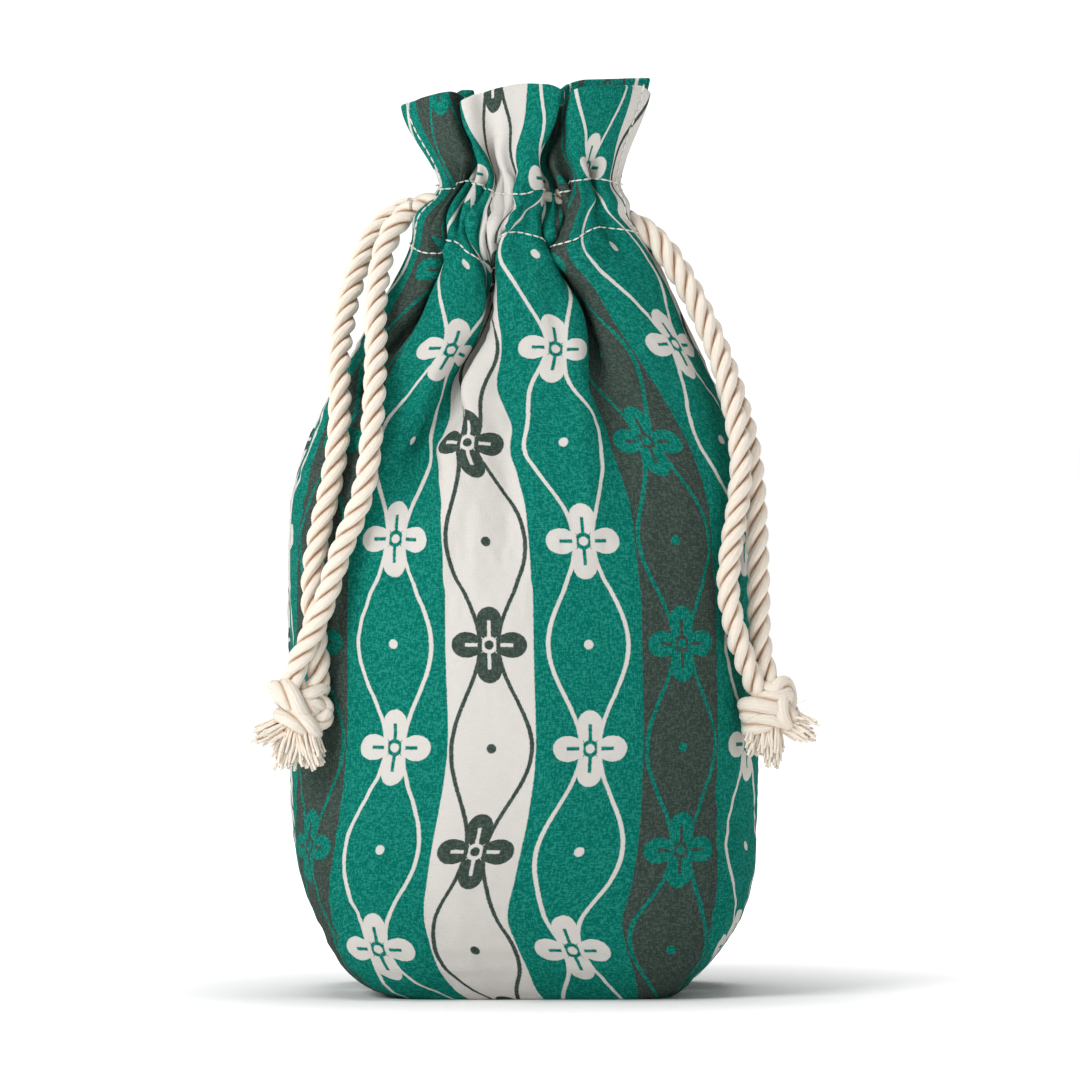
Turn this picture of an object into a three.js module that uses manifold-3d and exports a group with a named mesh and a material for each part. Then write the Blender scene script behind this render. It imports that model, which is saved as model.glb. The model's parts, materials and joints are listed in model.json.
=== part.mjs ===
// Kinchaku drawstring pouch, in millimetres, standing on its flat base with +Z up and -Y to the front.
// Two printed canvas panels are sewn together at the sides and across the base. The top of each panel is
// folded inside and stitched down twice, which makes a casing for the cords and a gathered frill above it.
// Two twisted ropes run through both casings: one leaves at the left and the other at the right, and each
// has its two ends tied in a knot with frayed tufts.
import * as THREE from "three";
import { mergeVertices } from "three/addons/utils/BufferGeometryUtils.js";
import Module from "manifold-3d";

const wasm = await Module();
wasm.setup();

// Driving dimensions
const bodyWidth = 132;
const bodyDepth = 96;
const baseWidth = 79;
const baseDepth = 77;
const cornerHeight = 36; // floor to the top of the base's soft corner
const shoulderHeight = 122; // floor to where the sides begin to draw in
const bodyHeight = 210.5; // floor to the lower row of casing stitches
const frillHeight = 26.2; // upper row of casing stitches to the rim
const frillWidth = 69;
const frillDepth = 46;
const neckWidth = 53; // at the middle of the casing's wall, drawn tight
const neckDepth = 28;
const cloth = 1.2; // canvas with its turned edge and seam allowance
const seamGap = 0.3;
const slitGap = 2.4; // between the panels at each side of the frill
const cordDiameter = 7;
const cordClearance = 0.6;
const gathers = 10;
const frillRipple = 2.9;
const shoulderRipple = 1.9;
const knotWidth = 17;
const knotDepth = 14;
const knotHeight = 16;
const knotClearance = 0.7;
const tuftRoot = 4; // radius of a frayed end where it leaves the knot
const longTuft = 6; // radius of a frayed end at its tip
const shortTuft = 5;

// A level section's squareness: 2 is an ellipse, and a higher one is nearer to a rectangle
const baseSquareness = 3.4;
const bodySquareness = 2.4;
const neckSquareness = 2.6;
const frillSquareness = 2.3;

// Sizes that follow from them
const casingHalf = cordDiameter + cordClearance * 1.5 + cloth;
const casingMiddle = bodyHeight + casingHalf;
const waist = bodyHeight + casingHalf * 2;
const rim = waist + frillHeight;
const casingSwell = cordDiameter / 2 + cordClearance + cloth;
const mouthHalf = cordDiameter + cordClearance * 2 + cloth;

// Fineness of the facets
const pointsPerGather = 8;
const ringPoints = gathers * pointsPerGather;
const cordSides = 10;
const cordSteps = 62;
const knotSides = 18;
const knotRings = 12;
const casingRings = [0.3, 0.6, 0.85]; // places of the casing's extra rings, as shares of its half height
const tunnelEnd = 0.96; // where the tunnel's top and bottom lie, as a share of the casing's half height
const rowStep = 0.01; // between the two rings that make a stitched row's sharp edge

// The corner's rise from the base, as shares: how far up, and how far out from the base to the full body
const cornerCurve = [
  [0, 0],
  [0.07, 0.23],
  [0.23, 0.47],
  [0.53, 0.71],
  [1, 0.95],
];

// The shoulder's rise to the casing, as shares: how far up, how far in from the body to the neck, and
// how deep the gathers are
const shoulderCurve = [
  [0, 0, 0.1],
  [0.286, 0.08, 0.35],
  [0.477, 0.225, 0.6],
  [0.667, 0.43, 0.9],
  [0.834, 0.627, 1],
  [0.929, 0.82, 0.65],
  [1, 1, 0.1],
];

// The frill's rise from the casing to the rim, as shares: how far up, how far out, and how deep its waves are
const frillCurve = [
  [0, 0, 0.1],
  [0.3, 0.3, 0.5],
  [1, 1, 1],
];

// One station of the wall's middle surface, a share of the way from one size to another: height, half
// width, half depth, squareness and ripple
function station(z, share, from, to, ripple) {
  const [width, depth, squareness] = from.map((size, i) => THREE.MathUtils.lerp(size, to[i], share));
  return [z, width / 2, depth / 2, squareness, ripple];
}

const baseSize = [baseWidth, baseDepth, baseSquareness];
const bodySize = [bodyWidth - cloth, bodyDepth - cloth, bodySquareness];
const neckSize = [neckWidth, neckDepth, neckSquareness];
const frillSize = [frillWidth, frillDepth, frillSquareness];
const shoulder = bodyHeight - shoulderHeight;

const stations = [
  ...cornerCurve.map(([up, out]) => station(cornerHeight * up, out, baseSize, bodySize, 0)),
  station((cornerHeight + shoulderHeight) / 2, 1, baseSize, bodySize, 0),
  ...shoulderCurve.map(([up, drawn, deep]) =>
    station(shoulderHeight + shoulder * up, drawn, bodySize, neckSize, shoulderRipple * deep),
  ),
  station(casingMiddle, 1, bodySize, neckSize, 0),
  ...frillCurve.map(([up, out, deep]) =>
    station(waist + frillHeight * up, out, neckSize, frillSize, frillRipple * deep),
  ),
];
const profile = new THREE.LinearInterpolant(
  stations.map((s) => s[0]),
  stations.flatMap((s) => s.slice(1)),
  4,
);

// Half the wall's thickness: one layer in the body, two in the frill, and swollen round the cords.
function halfWall(z) {
  if (z < bodyHeight) return cloth / 2;
  if (z >= waist) return cloth;
  const along = Math.abs((z - casingMiddle) / casingHalf);
  return cloth + (casingSwell - cloth) * Math.sqrt(Math.max(0, 1 - along ** 5));
}

// One level section of the pouch, moved out of the wall's middle surface by an offset.
function ring(z, offset) {
  const [halfWidth, halfDepth, squareness, ripple] = profile.evaluate(z);
  const points = [];
  for (let i = 0; i < ringPoints; i++) {
    const angle = (i / ringPoints) * Math.PI * 2;
    const cos = Math.cos(angle);
    const sin = Math.sin(angle);
    const gather = ripple * Math.cos(gathers * (angle + Math.PI / 2));
    const bend = (value) => Math.sign(value) * Math.abs(value) ** (2 / squareness);
    points.push(
      new THREE.Vector3(
        bend(cos) * (halfWidth + offset) + gather * cos,
        bend(sin) * (halfDepth + offset) + gather * sin,
        z,
      ),
    );
  }
  return points;
}

// A closed solid through a list of rings, with a pole at each end.
function loft(bottomPole, rings, topPole) {
  const vertices = [bottomPole, ...rings.flat(), topPole];
  const count = rings[0].length;
  const last = vertices.length - 1;
  const at = (level, i) => 1 + level * count + (i % count);
  const faces = [];
  for (let i = 0; i < count; i++) {
    faces.push(0, at(0, i + 1), at(0, i));
    for (let level = 0; level + 1 < rings.length; level++) {
      faces.push(at(level, i), at(level, i + 1), at(level + 1, i + 1));
      faces.push(at(level, i), at(level + 1, i + 1), at(level + 1, i));
    }
    faces.push(at(rings.length - 1, i), at(rings.length - 1, i + 1), last);
  }
  const geometry = new THREE.BufferGeometry().setFromPoints(vertices);
  geometry.setIndex(faces);
  return geometry;
}

// Geometry to solid and back, for cutting and joining
function solid(geometry) {
  const bare = geometry.clone();
  bare.deleteAttribute("normal");
  bare.deleteAttribute("uv");
  const merged = mergeVertices(bare, 1e-4);
  return new wasm.Manifold(
    new wasm.Mesh({
      numProp: 3,
      vertProperties: merged.attributes.position.array,
      triVerts: new Uint32Array(merged.index.array),
    }),
  );
}

function geometryOf(manifold) {
  const mesh = manifold.getMesh();
  const geometry = new THREE.BufferGeometry();
  geometry.setAttribute("position", new THREE.BufferAttribute(mesh.vertProperties, 3));
  geometry.setIndex(new THREE.BufferAttribute(mesh.triVerts, 1));
  geometry.computeVertexNormals();
  return geometry;
}

// The cords' routes, from the knot up the front strand, through the front casing, round the far end, back
// through the back casing and down the back strand to the knot
const leftRoute = [
  [-59.4, -36.4, 87.5],
  [-58.6, -36.2, 95],
  [-56.2, -36.4, 108],
  [-52.8, -39, 121],
  [-48.6, -40.2, 134],
  [-44.9, -41.0, 146],
  [-42.7, -39.5, 158],
  [-41.7, -35.2, 170],
  [-41.5, -27.2, 181.5],
  [-41.9, -19.6, 193],
  [-42.1, -13.0, 203.5],
  [-41.0, -8.2, 213.3],
  [-37.2, -5.9, 220.6],
  [-31.2, -5, 223.3],
  [-24.6, -6.7, 223.3],
  [-17.6, -11.6, 223.3],
  [-10, -13.5, 223.3],
  [0, -14, 223.3],
  [10, -13.5, 223.3],
  [18, -11.6, 223.3],
  [23.2, -7, 223.3],
  [25, 0, 223.3],
  [23.2, 7, 223.3],
  [18, 11.6, 223.3],
  [10, 13.5, 223.3],
  [0, 14, 223.3],
  [-10, 13.5, 223.3],
  [-17.6, 11.6, 223.3],
  [-24.6, 6.7, 223.3],
  [-32, 4.3, 223.3],
  [-40.2, 3.2, 220.9],
  [-46.3, 0.4, 213.6],
  [-49.4, -4.2, 202.5],
  [-51, -11.2, 190.5],
  [-51.8, -20.4, 178],
  [-52.4, -27.3, 165],
  [-53.2, -32.7, 152],
  [-54.8, -34.4, 140],
  [-59.8, -32.3, 115.5],
  [-65.2, -31.6, 87.5],
];
const rightRoute = [
  [65.0, -27.8, 87.5],
  [62.0, -29.8, 94.5],
  [59.0, -32.9, 104],
  [57.4, -34.4, 114],
  [58.3, -32.6, 126],
  [60.2, -28.4, 138],
  [61.0, -24.8, 149],
  [59.6, -21.4, 160],
  [57.6, -17.8, 170],
  [54.8, -13.8, 180],
  [50.8, -10.4, 190],
  [45.6, -8.2, 199.5],
  [40.0, -6.6, 207.6],
  [35.2, -5.7, 213.2],
  [29.6, -5, 215.8],
  [23.6, -7.4, 215.9],
  [17.2, -11.8, 215.9],
  [10, -13.5, 215.9],
  [0, -14, 215.9],
  [-10, -13.5, 215.9],
  [-18, -11.6, 215.9],
  [-23.2, -7, 215.9],
  [-25, 0, 215.9],
  [-23.2, 7, 215.9],
  [-18, 11.6, 215.9],
  [-10, 13.5, 215.9],
  [0, 14, 215.9],
  [10, 13.5, 215.9],
  [17.2, 11.8, 215.9],
  [24, 7.2, 215.9],
  [31, 4.3, 215.6],
  [39.4, 3.2, 212],
  [46.8, 1.0, 203.6],
  [52.6, -2.0, 192.4],
  [58.0, -5.2, 180.5],
  [62.4, -9.0, 168],
  [65.2, -12.8, 155.5],
  [66.6, -19.6, 128.5],
  [67.6, -22.4, 104],
  [71.6, -23.6, 87.5],
];

function tube(route, radius) {
  const curve = new THREE.CatmullRomCurve3(route.map((p) => new THREE.Vector3(...p)));
  const section = new THREE.Shape();
  for (let i = 0; i < cordSides; i++) {
    const angle = (i / cordSides) * Math.PI * 2;
    const x = radius * Math.cos(angle);
    const y = radius * Math.sin(angle);
    if (i) section.lineTo(x, y);
    else section.moveTo(x, y);
  }
  section.closePath();
  return new THREE.ExtrudeGeometry(section, {
    steps: cordSteps,
    extrudePath: curve,
    bevelEnabled: false,
  });
}

// The casing's tunnel: the room that the cords have between its two walls, all round the neck
function tunnel() {
  const shares = [...casingRings, tunnelEnd];
  const heights = [...shares.map((share) => -share).reverse(), 0, ...shares];
  const side = (way) => {
    const rings = heights.map((share) => {
      const z = casingMiddle + casingHalf * share;
      return ring(z, way * (halfWall(z) - cloth));
    });
    const [bottom, top] = [rings[0][0].z, rings.at(-1)[0].z];
    return solid(loft(new THREE.Vector3(0, 0, bottom), rings, new THREE.Vector3(0, 0, top)));
  };
  return side(1).subtract(side(-1));
}

// The two panels: a hollow closed shell with a tunnel in its casing. Its seams and slits come after.
function bothPanels() {
  const heights = stations.map((s) => s[0]);
  for (const share of casingRings) {
    heights.push(casingMiddle - casingHalf * share, casingMiddle + casingHalf * share);
  }
  heights.push(waist - rowStep, bodyHeight + rowStep, waist + frillHeight * 0.65);
  heights.sort((a, b) => a - b);
  const outside = loft(
    new THREE.Vector3(0, 0, 0),
    heights.map((z) => ring(z, halfWall(z))),
    new THREE.Vector3(0, 0, rim),
  );
  const floor = ring(cloth, -halfWall(cloth));
  const above = heights.filter((z) => z > cloth).map((z) => ring(z, -halfWall(z)));
  const open = above.at(-1).map((p) => p.clone().setZ(rim + cloth));
  const inside = loft(
    new THREE.Vector3(0, 0, cloth),
    [floor, ...above, open],
    new THREE.Vector3(0, 0, rim + cloth),
  );
  return solid(outside).subtract(solid(inside)).subtract(tunnel());
}

function box(width, depth, height, x, y, z) {
  const geometry = new THREE.BoxGeometry(width, depth, height);
  geometry.translate(x, y, z);
  return solid(geometry);
}

const reach = bodyWidth + bodyDepth;

// One panel: the shell's half on one side of the seam, with a slit at each side above the body and a mouth
// at each end of its casing
function panel(shell, side) {
  const half = box(reach * 2, reach, reach * 4, 0, side * (reach / 2 + seamGap / 2), 0);
  const slitHeight = rim - bodyHeight + cloth * 2;
  const slit = box(reach * 2, slitGap, slitHeight, 0, 0, bodyHeight + slitHeight / 2);
  const mouths = box(reach * 2, mouthHalf * 2, casingHalf * 2, 0, 0, casingMiddle);
  return shell.intersect(half).subtract(slit).subtract(mouths);
}

// A rod from one place to another, with a radius at each end
function rod(start, end, startRadius, endRadius) {
  const along = end.clone().sub(start);
  const geometry = new THREE.CylinderGeometry(endRadius, startRadius, along.length(), knotRings);
  const turn = new THREE.Quaternion();
  turn.setFromUnitVectors(new THREE.Vector3(0, 1, 0), along.clone().normalize());
  geometry.applyQuaternion(turn);
  geometry.translate(...start.clone().add(end).multiplyScalar(0.5).toArray());
  return solid(geometry);
}

// Where a strand runs into its knot, with clearance all round
function socket(last, before) {
  const end = new THREE.Vector3(...last);
  const along = new THREE.Vector3(...before).sub(end).normalize();
  const radius = cordDiameter / 2 + knotClearance;
  const inner = end.clone().addScaledVector(along, -knotClearance);
  return rod(inner, end.clone().addScaledVector(along, knotHeight), radius, radius);
}

// A knot with its two frayed ends: a squashed ball with a flared tuft for each end that leaves it
function knot(place, tufts, route) {
  const ball = new THREE.SphereGeometry(0.5, knotSides, knotRings);
  ball.scale(knotWidth, knotDepth, knotHeight);
  ball.translate(...place);
  let made = solid(ball);
  for (const [tip, flare] of tufts) {
    made = made.add(rod(new THREE.Vector3(...place), new THREE.Vector3(...tip), tuftRoot, flare));
  }
  made = made.subtract(socket(route[0], route[1]));
  return made.subtract(socket(route.at(-1), route.at(-2)));
}

// Each knot's middle, and the tip and radius of each frayed end
const leftKnot = [-62.4, -35.2, 81.2];
const leftTufts = [
  [[-71.2, -35.6, 74.4], shortTuft],
  [[-63.2, -36.6, 64.4], longTuft],
];
const rightKnot = [69, -26.4, 81.2];
const rightTufts = [
  [[68.2, -28.8, 66.6], longTuft],
  [[79.6, -27.4, 73.6], shortTuft],
];

const pouch = new THREE.Group();

function addPiece(name, geometry, color, roughness) {
  const material = new THREE.MeshStandardMaterial({ color, roughness, metalness: 0 });
  const mesh = new THREE.Mesh(geometry, material);
  mesh.name = name;
  pouch.add(mesh);
}

const canvasGreen = 0x147d69;
const canvasRoughness = 0.9;
const cottonCream = 0xeee5d7;
const cottonRoughness = 0.95;
const shell = bothPanels();

addPiece("front_panel", geometryOf(panel(shell, -1)), canvasGreen, canvasRoughness);
addPiece("back_panel", geometryOf(panel(shell, 1)), canvasGreen, canvasRoughness);
addPiece("drawcord_left", tube(leftRoute, cordDiameter / 2), cottonCream, cottonRoughness);
addPiece("drawcord_right", tube(rightRoute, cordDiameter / 2), cottonCream, cottonRoughness);
addPiece("knot_left", geometryOf(knot(leftKnot, leftTufts, leftRoute)), cottonCream, cottonRoughness);
addPiece("knot_right", geometryOf(knot(rightKnot, rightTufts, rightRoute)), cottonCream, cottonRoughness);

export default pouch;
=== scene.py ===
"""A kinchaku drawstring pouch of printed canvas, drawn shut by two twisted cotton ropes with knotted ends.

Every size is in metres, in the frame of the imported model: +Z up, -Y to the front, origin under the base.
"""
import json
import logging
import math
from dataclasses import dataclass, field, replace
from enum import Enum

import bpy
import numpy as np
from mathutils import Matrix, Vector

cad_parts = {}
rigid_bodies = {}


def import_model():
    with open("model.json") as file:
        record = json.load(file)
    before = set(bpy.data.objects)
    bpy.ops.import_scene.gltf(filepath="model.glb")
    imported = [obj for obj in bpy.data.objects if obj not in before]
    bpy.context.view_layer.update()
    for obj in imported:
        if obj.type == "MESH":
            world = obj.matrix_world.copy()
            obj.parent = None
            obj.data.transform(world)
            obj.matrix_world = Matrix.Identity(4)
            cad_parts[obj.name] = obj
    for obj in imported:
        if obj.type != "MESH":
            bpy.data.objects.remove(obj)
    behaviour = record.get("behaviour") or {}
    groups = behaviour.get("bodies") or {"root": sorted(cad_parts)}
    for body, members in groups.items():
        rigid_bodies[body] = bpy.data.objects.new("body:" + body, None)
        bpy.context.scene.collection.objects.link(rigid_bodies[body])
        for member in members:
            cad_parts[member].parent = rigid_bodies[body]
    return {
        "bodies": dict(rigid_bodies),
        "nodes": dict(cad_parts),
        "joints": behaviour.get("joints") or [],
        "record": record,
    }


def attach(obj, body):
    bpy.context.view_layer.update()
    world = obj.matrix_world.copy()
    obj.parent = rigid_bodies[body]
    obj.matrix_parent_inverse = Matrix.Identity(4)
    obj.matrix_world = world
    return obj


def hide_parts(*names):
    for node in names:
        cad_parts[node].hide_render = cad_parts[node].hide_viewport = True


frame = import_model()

Points = np.ndarray
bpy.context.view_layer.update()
LOG = logging.getLogger("pouch")
MM = 0.001
CUT_WIDTH = 186.0


class Side(Enum):
    """The two panels that the pouch is sewn from."""

    FRONT = -1
    BACK = 1


@dataclass(frozen=True)
class Profile:
    """A size that changes along the pouch: a smooth curve through chosen points, in millimetres."""

    points: tuple[tuple[float, float], ...]

    def at(self, place: float | Points) -> float | Points:
        """Read the curve.

        Args:
            place: one or many places along it, in millimetres.

        Returns:
            The size there, with no overshoot between the chosen points.
        """
        x, y = np.array(self.points, dtype=float).T
        step, rise = np.diff(x), np.diff(y)
        slope = rise / step
        tangent = np.zeros_like(y)
        same = slope[:-1] * slope[1:] > 0
        tangent[1:-1][same] = 2 / (1 / slope[:-1][same] + 1 / slope[1:][same])
        tangent[0], tangent[-1] = slope[0], slope[-1]
        place = np.clip(place, x[0], x[-1])
        i = np.clip(np.searchsorted(x, place, side="right") - 1, 0, len(x) - 2)
        t = (place - x[i]) / step[i]
        return (
            y[i] * (1 + 2 * t) * (1 - t) ** 2
            + y[i + 1] * t * t * (3 - 2 * t)
            + step[i] * t * (1 - t) * (tangent[i] * (1 - t) - tangent[i + 1] * t)
        )


def eased(share: float | Points) -> float | Points:
    """Start and stop a share of 0 to 1 gently."""
    return share * share * (3 - 2 * share)


def running(steps: Points) -> Points:
    """Add up steps as they go, from 0."""
    return np.concatenate([[0], np.cumsum(steps)])


def lengths(line: Points) -> Points:
    """Measure how long a line has become at each of its points."""
    return running(np.linalg.norm(np.diff(line, axis=0), axis=1))


def blurred(values: Points, reach: float) -> Points:
    """Smooth a row of values with a bell curve, its ends mirrored.

    Args:
        values: the row.
        reach: the bell's standard deviation, in samples.

    Returns:
        The smoothed row, as long as before.
    """
    half = max(int(3 * reach), 1)
    bell = np.exp(-0.5 * (np.arange(-half, half + 1) / reach) ** 2)
    before = 2 * values[0] - values[half:0:-1]
    after = 2 * values[-1] - values[-2 : -half - 2 : -1]
    return np.convolve(np.concatenate([before, values, after]), bell / bell.sum(), mode="valid")


@dataclass
class Envelope:
    """The pouch's level sections without their folds: rounded boxes whose sides follow the silhouette.

    Heights and sizes are in millimetres, and left, right, front and back are distances from the axis.
    """

    left: Profile = Profile(
        ((0, 37), (2, 43.6), (5, 48.2), (9, 52), (15, 55.4), (22.5, 58.8), (30, 62.2), (38, 64.6), (48, 65.9),
         (63, 66.5), (107, 67.2), (125, 67.2), (136, 66.7), (146, 64.9), (155, 61.8), (163, 58.5),
         (170, 54.8), (179, 49.9), (187, 45.5), (195, 41), (202, 36.8), (208, 33.2), (211.5, 31.6),
         (216, 33.6), (221, 33.4), (226, 27), (229, 23.4), (234, 25.4), (243, 30.2), (251, 34.6), (257, 35.6))
    )
    right: Profile = Profile(
        ((0, 42), (2, 45), (4.5, 47.4), (11, 54), (17, 58.6), (22, 61.8), (27, 63.8), (36, 65.5), (48, 66),
         (68, 66.4), (120, 66.5), (136, 66.2), (146, 64.4), (155, 61.6), (168, 56), (180, 50), (191, 44.3),
         (202, 38.8), (208, 35.2), (211.5, 31.8), (217, 31.4), (222, 33.2), (226, 29.4), (229, 27.4),
         (234, 28.6), (243, 32), (251, 35.4), (257, 36.8))
    )
    front: Profile = Profile(
        ((0, 38), (2, 41), (6, 43.4), (15, 45.8), (30, 47.2), (60, 47.8), (120, 47.6), (140, 45.6), (155, 42),
         (168, 37.5), (180, 31.5), (190, 26), (200, 20.6), (207, 19), (210.5, 19.4), (215, 21), (219.5, 21.2),
         (224, 19.6), (228.7, 15.4), (234, 16.4), (243, 19), (257, 22.5))
    )
    squareness: Profile = Profile(
        ((0, 7), (8, 6), (24, 4), (44, 2.9), (66, 2.5), (140, 2.35), (200, 2.4), (228, 2.6), (257, 2.4))
    )
    samples: int = 360

    def outline(self, height: float, inset: float = 0.0) -> tuple[Points, Points]:
        """Draw one section, from its left end round the front to the right end and back behind.

        Args:
            height: where the section lies.
            inset: how far its walls stand in.

        Returns:
            The closed polyline's points, the first repeated at the end, and the arc length at each.
        """
        power = 2 / float(self.squareness.at(height))
        turn = np.linspace(0, 2 * math.pi, self.samples * 2 + 1)
        cos, sin = -np.cos(turn), -np.sin(turn)
        side = np.where(cos < 0, self.left.at(height), self.right.at(height)) - inset
        x = np.sign(cos) * np.abs(cos) ** power * side
        y = np.sign(sin) * np.abs(sin) ** power * (self.front.at(height) - inset)
        points = np.stack([x, y], axis=1)
        return points, lengths(points)


@dataclass(frozen=True)
class FoldPlan:
    """How one panel's cloth turns in and out across its width, at chosen heights.

    Each row is a height and a list of places across the cloth with the cloth's angle to the envelope
    there: 0 lies along it, a negative angle turns in and a positive one turns out. Millimetres, degrees.
    """

    rows: tuple[tuple[float, tuple[tuple[float, float], ...]], ...]
    crumple: Profile
    crumple_where: Profile
    crumple_pitch: float
    softness: float
    seed: int
    shift: float = 0.0
    wander_length: tuple[float, float] = (9.0, 24.0)
    wander_depth: float = 1.3
    wander_lean: float = 0.01
    gather_from: float = 150.0
    gather_over: float = 35.0
    steepest: float = 89.0

    def angles(self, across: Points, height: float) -> Points:
        """Work out the cloth's angle to the envelope along one level row.

        Args:
            across: places across the cloth.
            height: the row's height.

        Returns:
            The angle planned at each place, in degrees.
        """
        heights = np.array([r[0] for r in self.rows])
        across = across - self.shift
        i = int(np.clip(np.searchsorted(heights, height, side="right") - 1, 0, len(heights) - 2))
        t = eased(float(np.clip((height - heights[i]) / (heights[i + 1] - heights[i]), 0, 1)))
        low, high = (np.interp(across, *np.array(self.rows[k][1]).T) for k in (i, i + 1))
        step = across[1] - across[0]
        broad = blurred(low * (1 - t) + high * t, self.softness / step)
        draw = np.random.default_rng(self.seed)
        wander = sum(
            draw.uniform(0.5, 1)
            * np.sin(
                across / draw.uniform(*self.wander_length) + draw.uniform(0, 6.3) + height * self.wander_lean
            )
            for _ in range(4)
        )
        fine = np.sin(2 * math.pi * across / self.crumple_pitch + self.wander_depth * wander)
        fine *= self.crumple.at(height) * self.crumple_where.at(across)
        return broad + fine

    def pressed(self, plan: Points, height: float, slack: float) -> Points:
        """Flatten a row's folds: low down they all lean back together, high up the weaker ones vanish first.

        Args:
            plan: the row's planned angles, in degrees.
            height: the row's height.
            slack: from 0, as deep as they get, to 1, flat.

        Returns:
            The angles, in radians.
        """
        high = float(np.clip((height - self.gather_from) / self.gather_over, 0, 1))
        left = np.maximum(np.abs(plan) - 90 * slack * high, 0) * (1 + 0.5 * high)
        left *= (1 - high) * (1 - slack) * 2 + high
        return np.radians(np.sign(plan) * np.minimum(left, self.steepest))


def creases(flat: float, *folds: tuple[float, float, float, float]) -> tuple[tuple[float, float], ...]:
    """Plan one row as flat cloth broken by valleys.

    Args:
        flat: the angle of the flats at the two ends, in degrees.
        folds: each valley's start, bottom and end across the cloth in millimetres, and its steepness in
            degrees.

    Returns:
        Places across the cloth with the planned angle at each.
    """
    row = [(-CUT_WIDTH / 2, flat)]
    for start, bottom, end, steep in folds:
        soft = min(1.6, (end - start) / 7)
        row += [(start - soft, 0), (start + soft, -steep), (bottom - soft, -steep)]
        row += [(bottom + soft, steep), (end - soft, steep), (end + soft, 0)]
    return (*row, (CUT_WIDTH / 2, -flat))


FRONT_FOLDS = FoldPlan(
    rows=(
        (0, creases(0)),
        (112, creases(0)),
        (128, creases(0, (-84, -74, -62, 12), (-58, -41, -30, 34), (14, 28, 46, 12))),
        (150, creases(0, (-88, -78, -68, 34), (-52, -35, -24, 74), (16, 30, 46, 26), (72, 80, 88, 16))),
        (172, creases(0, (-84, -74, -62, 66), (-44, -26, -13, 86), (18, 32, 46, 62), (76, 82, 88, 30))),
        (196, creases(0, (-76, -66, -56, 80), (-36, -19, -3, 88), (24, 37, 50, 86), (80, 85, 90, 30))),
        (209, creases(0, (-77, -64, -52, 86), (-38, -19, 0, 84), (16, 33, 50, 86), (66, 71, 76, 40))),
        (214, creases(2, (-80, -75, -70, 80), (-66, -60, -54, 84), (-52, -47.5, -43, 84),
                      (-41, -37.5, -34, 88), (-33, -29.5, -26, 88), (-25, -21.5, -18, 88),
                      (-17, -13.5, -10, 86), (-7, -5, -3, 40), (13, 19, 25, 84), (26, 32, 38, 88),
                      (40, 45, 50, 80), (64, 69, 74, 60))),
        (221, creases(4, (-80, -75, -70, 84), (-66, -60, -54, 84), (-53, -47.5, -42, 86),
                      (-41, -37.5, -34, 88), (-33, -29.5, -26, 88), (-25, -21.5, -18, 88),
                      (-17, -13.5, -10, 86), (-7, -5, -3, 40), (13, 18, 22, 84), (23, 27, 31, 88),
                      (32, 35.5, 39, 88), (40, 45, 51, 84), (63, 69, 75, 70))),
        (228.7, creases(4, (-84, -76, -68, 84), (-67, -60, -54, 88), (-53, -47, -41, 86), (-40, -35, -30, 88),
                        (-29, -25, -21, 88), (-20, -15.5, -11, 88), (-8, -5, -2, 60), (9, 17, 25, 88),
                        (26, 32, 38, 88), (39, 45, 51, 86), (61, 69, 77, 82))),
        (237, creases(8, (-67, -53, -39, 88), (-33, -23, -13, 82), (-9, -5, -1, 30), (9, 25, 41, 88),
                      (43, 50, 57, 60))),
        (247, creases(10, (-67, -49, -31, 88), (-25, -20, -15, 40), (10, 32, 54, 88))),
        (257, creases(12, (-67, -48, -29, 90), (-24, -20, -16, 24), (10, 33, 56, 90))),
    ),
    crumple=Profile(
        ((0, 0), (120, 0), (160, 2), (196, 5), (208, 8), (215, 16), (222, 16), (228.7, 10), (236, 4),
         (257, 1.5))
    ),
    crumple_where=Profile(((-93, 0), (-80, 0.3), (-60, 1), (40, 1), (80, 0.3), (93, 0))),
    crumple_pitch=7.4,
    softness=1.5,
    seed=11,
)

BACK_FOLDS = replace(FRONT_FOLDS, shift=14.0, seed=23)


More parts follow.
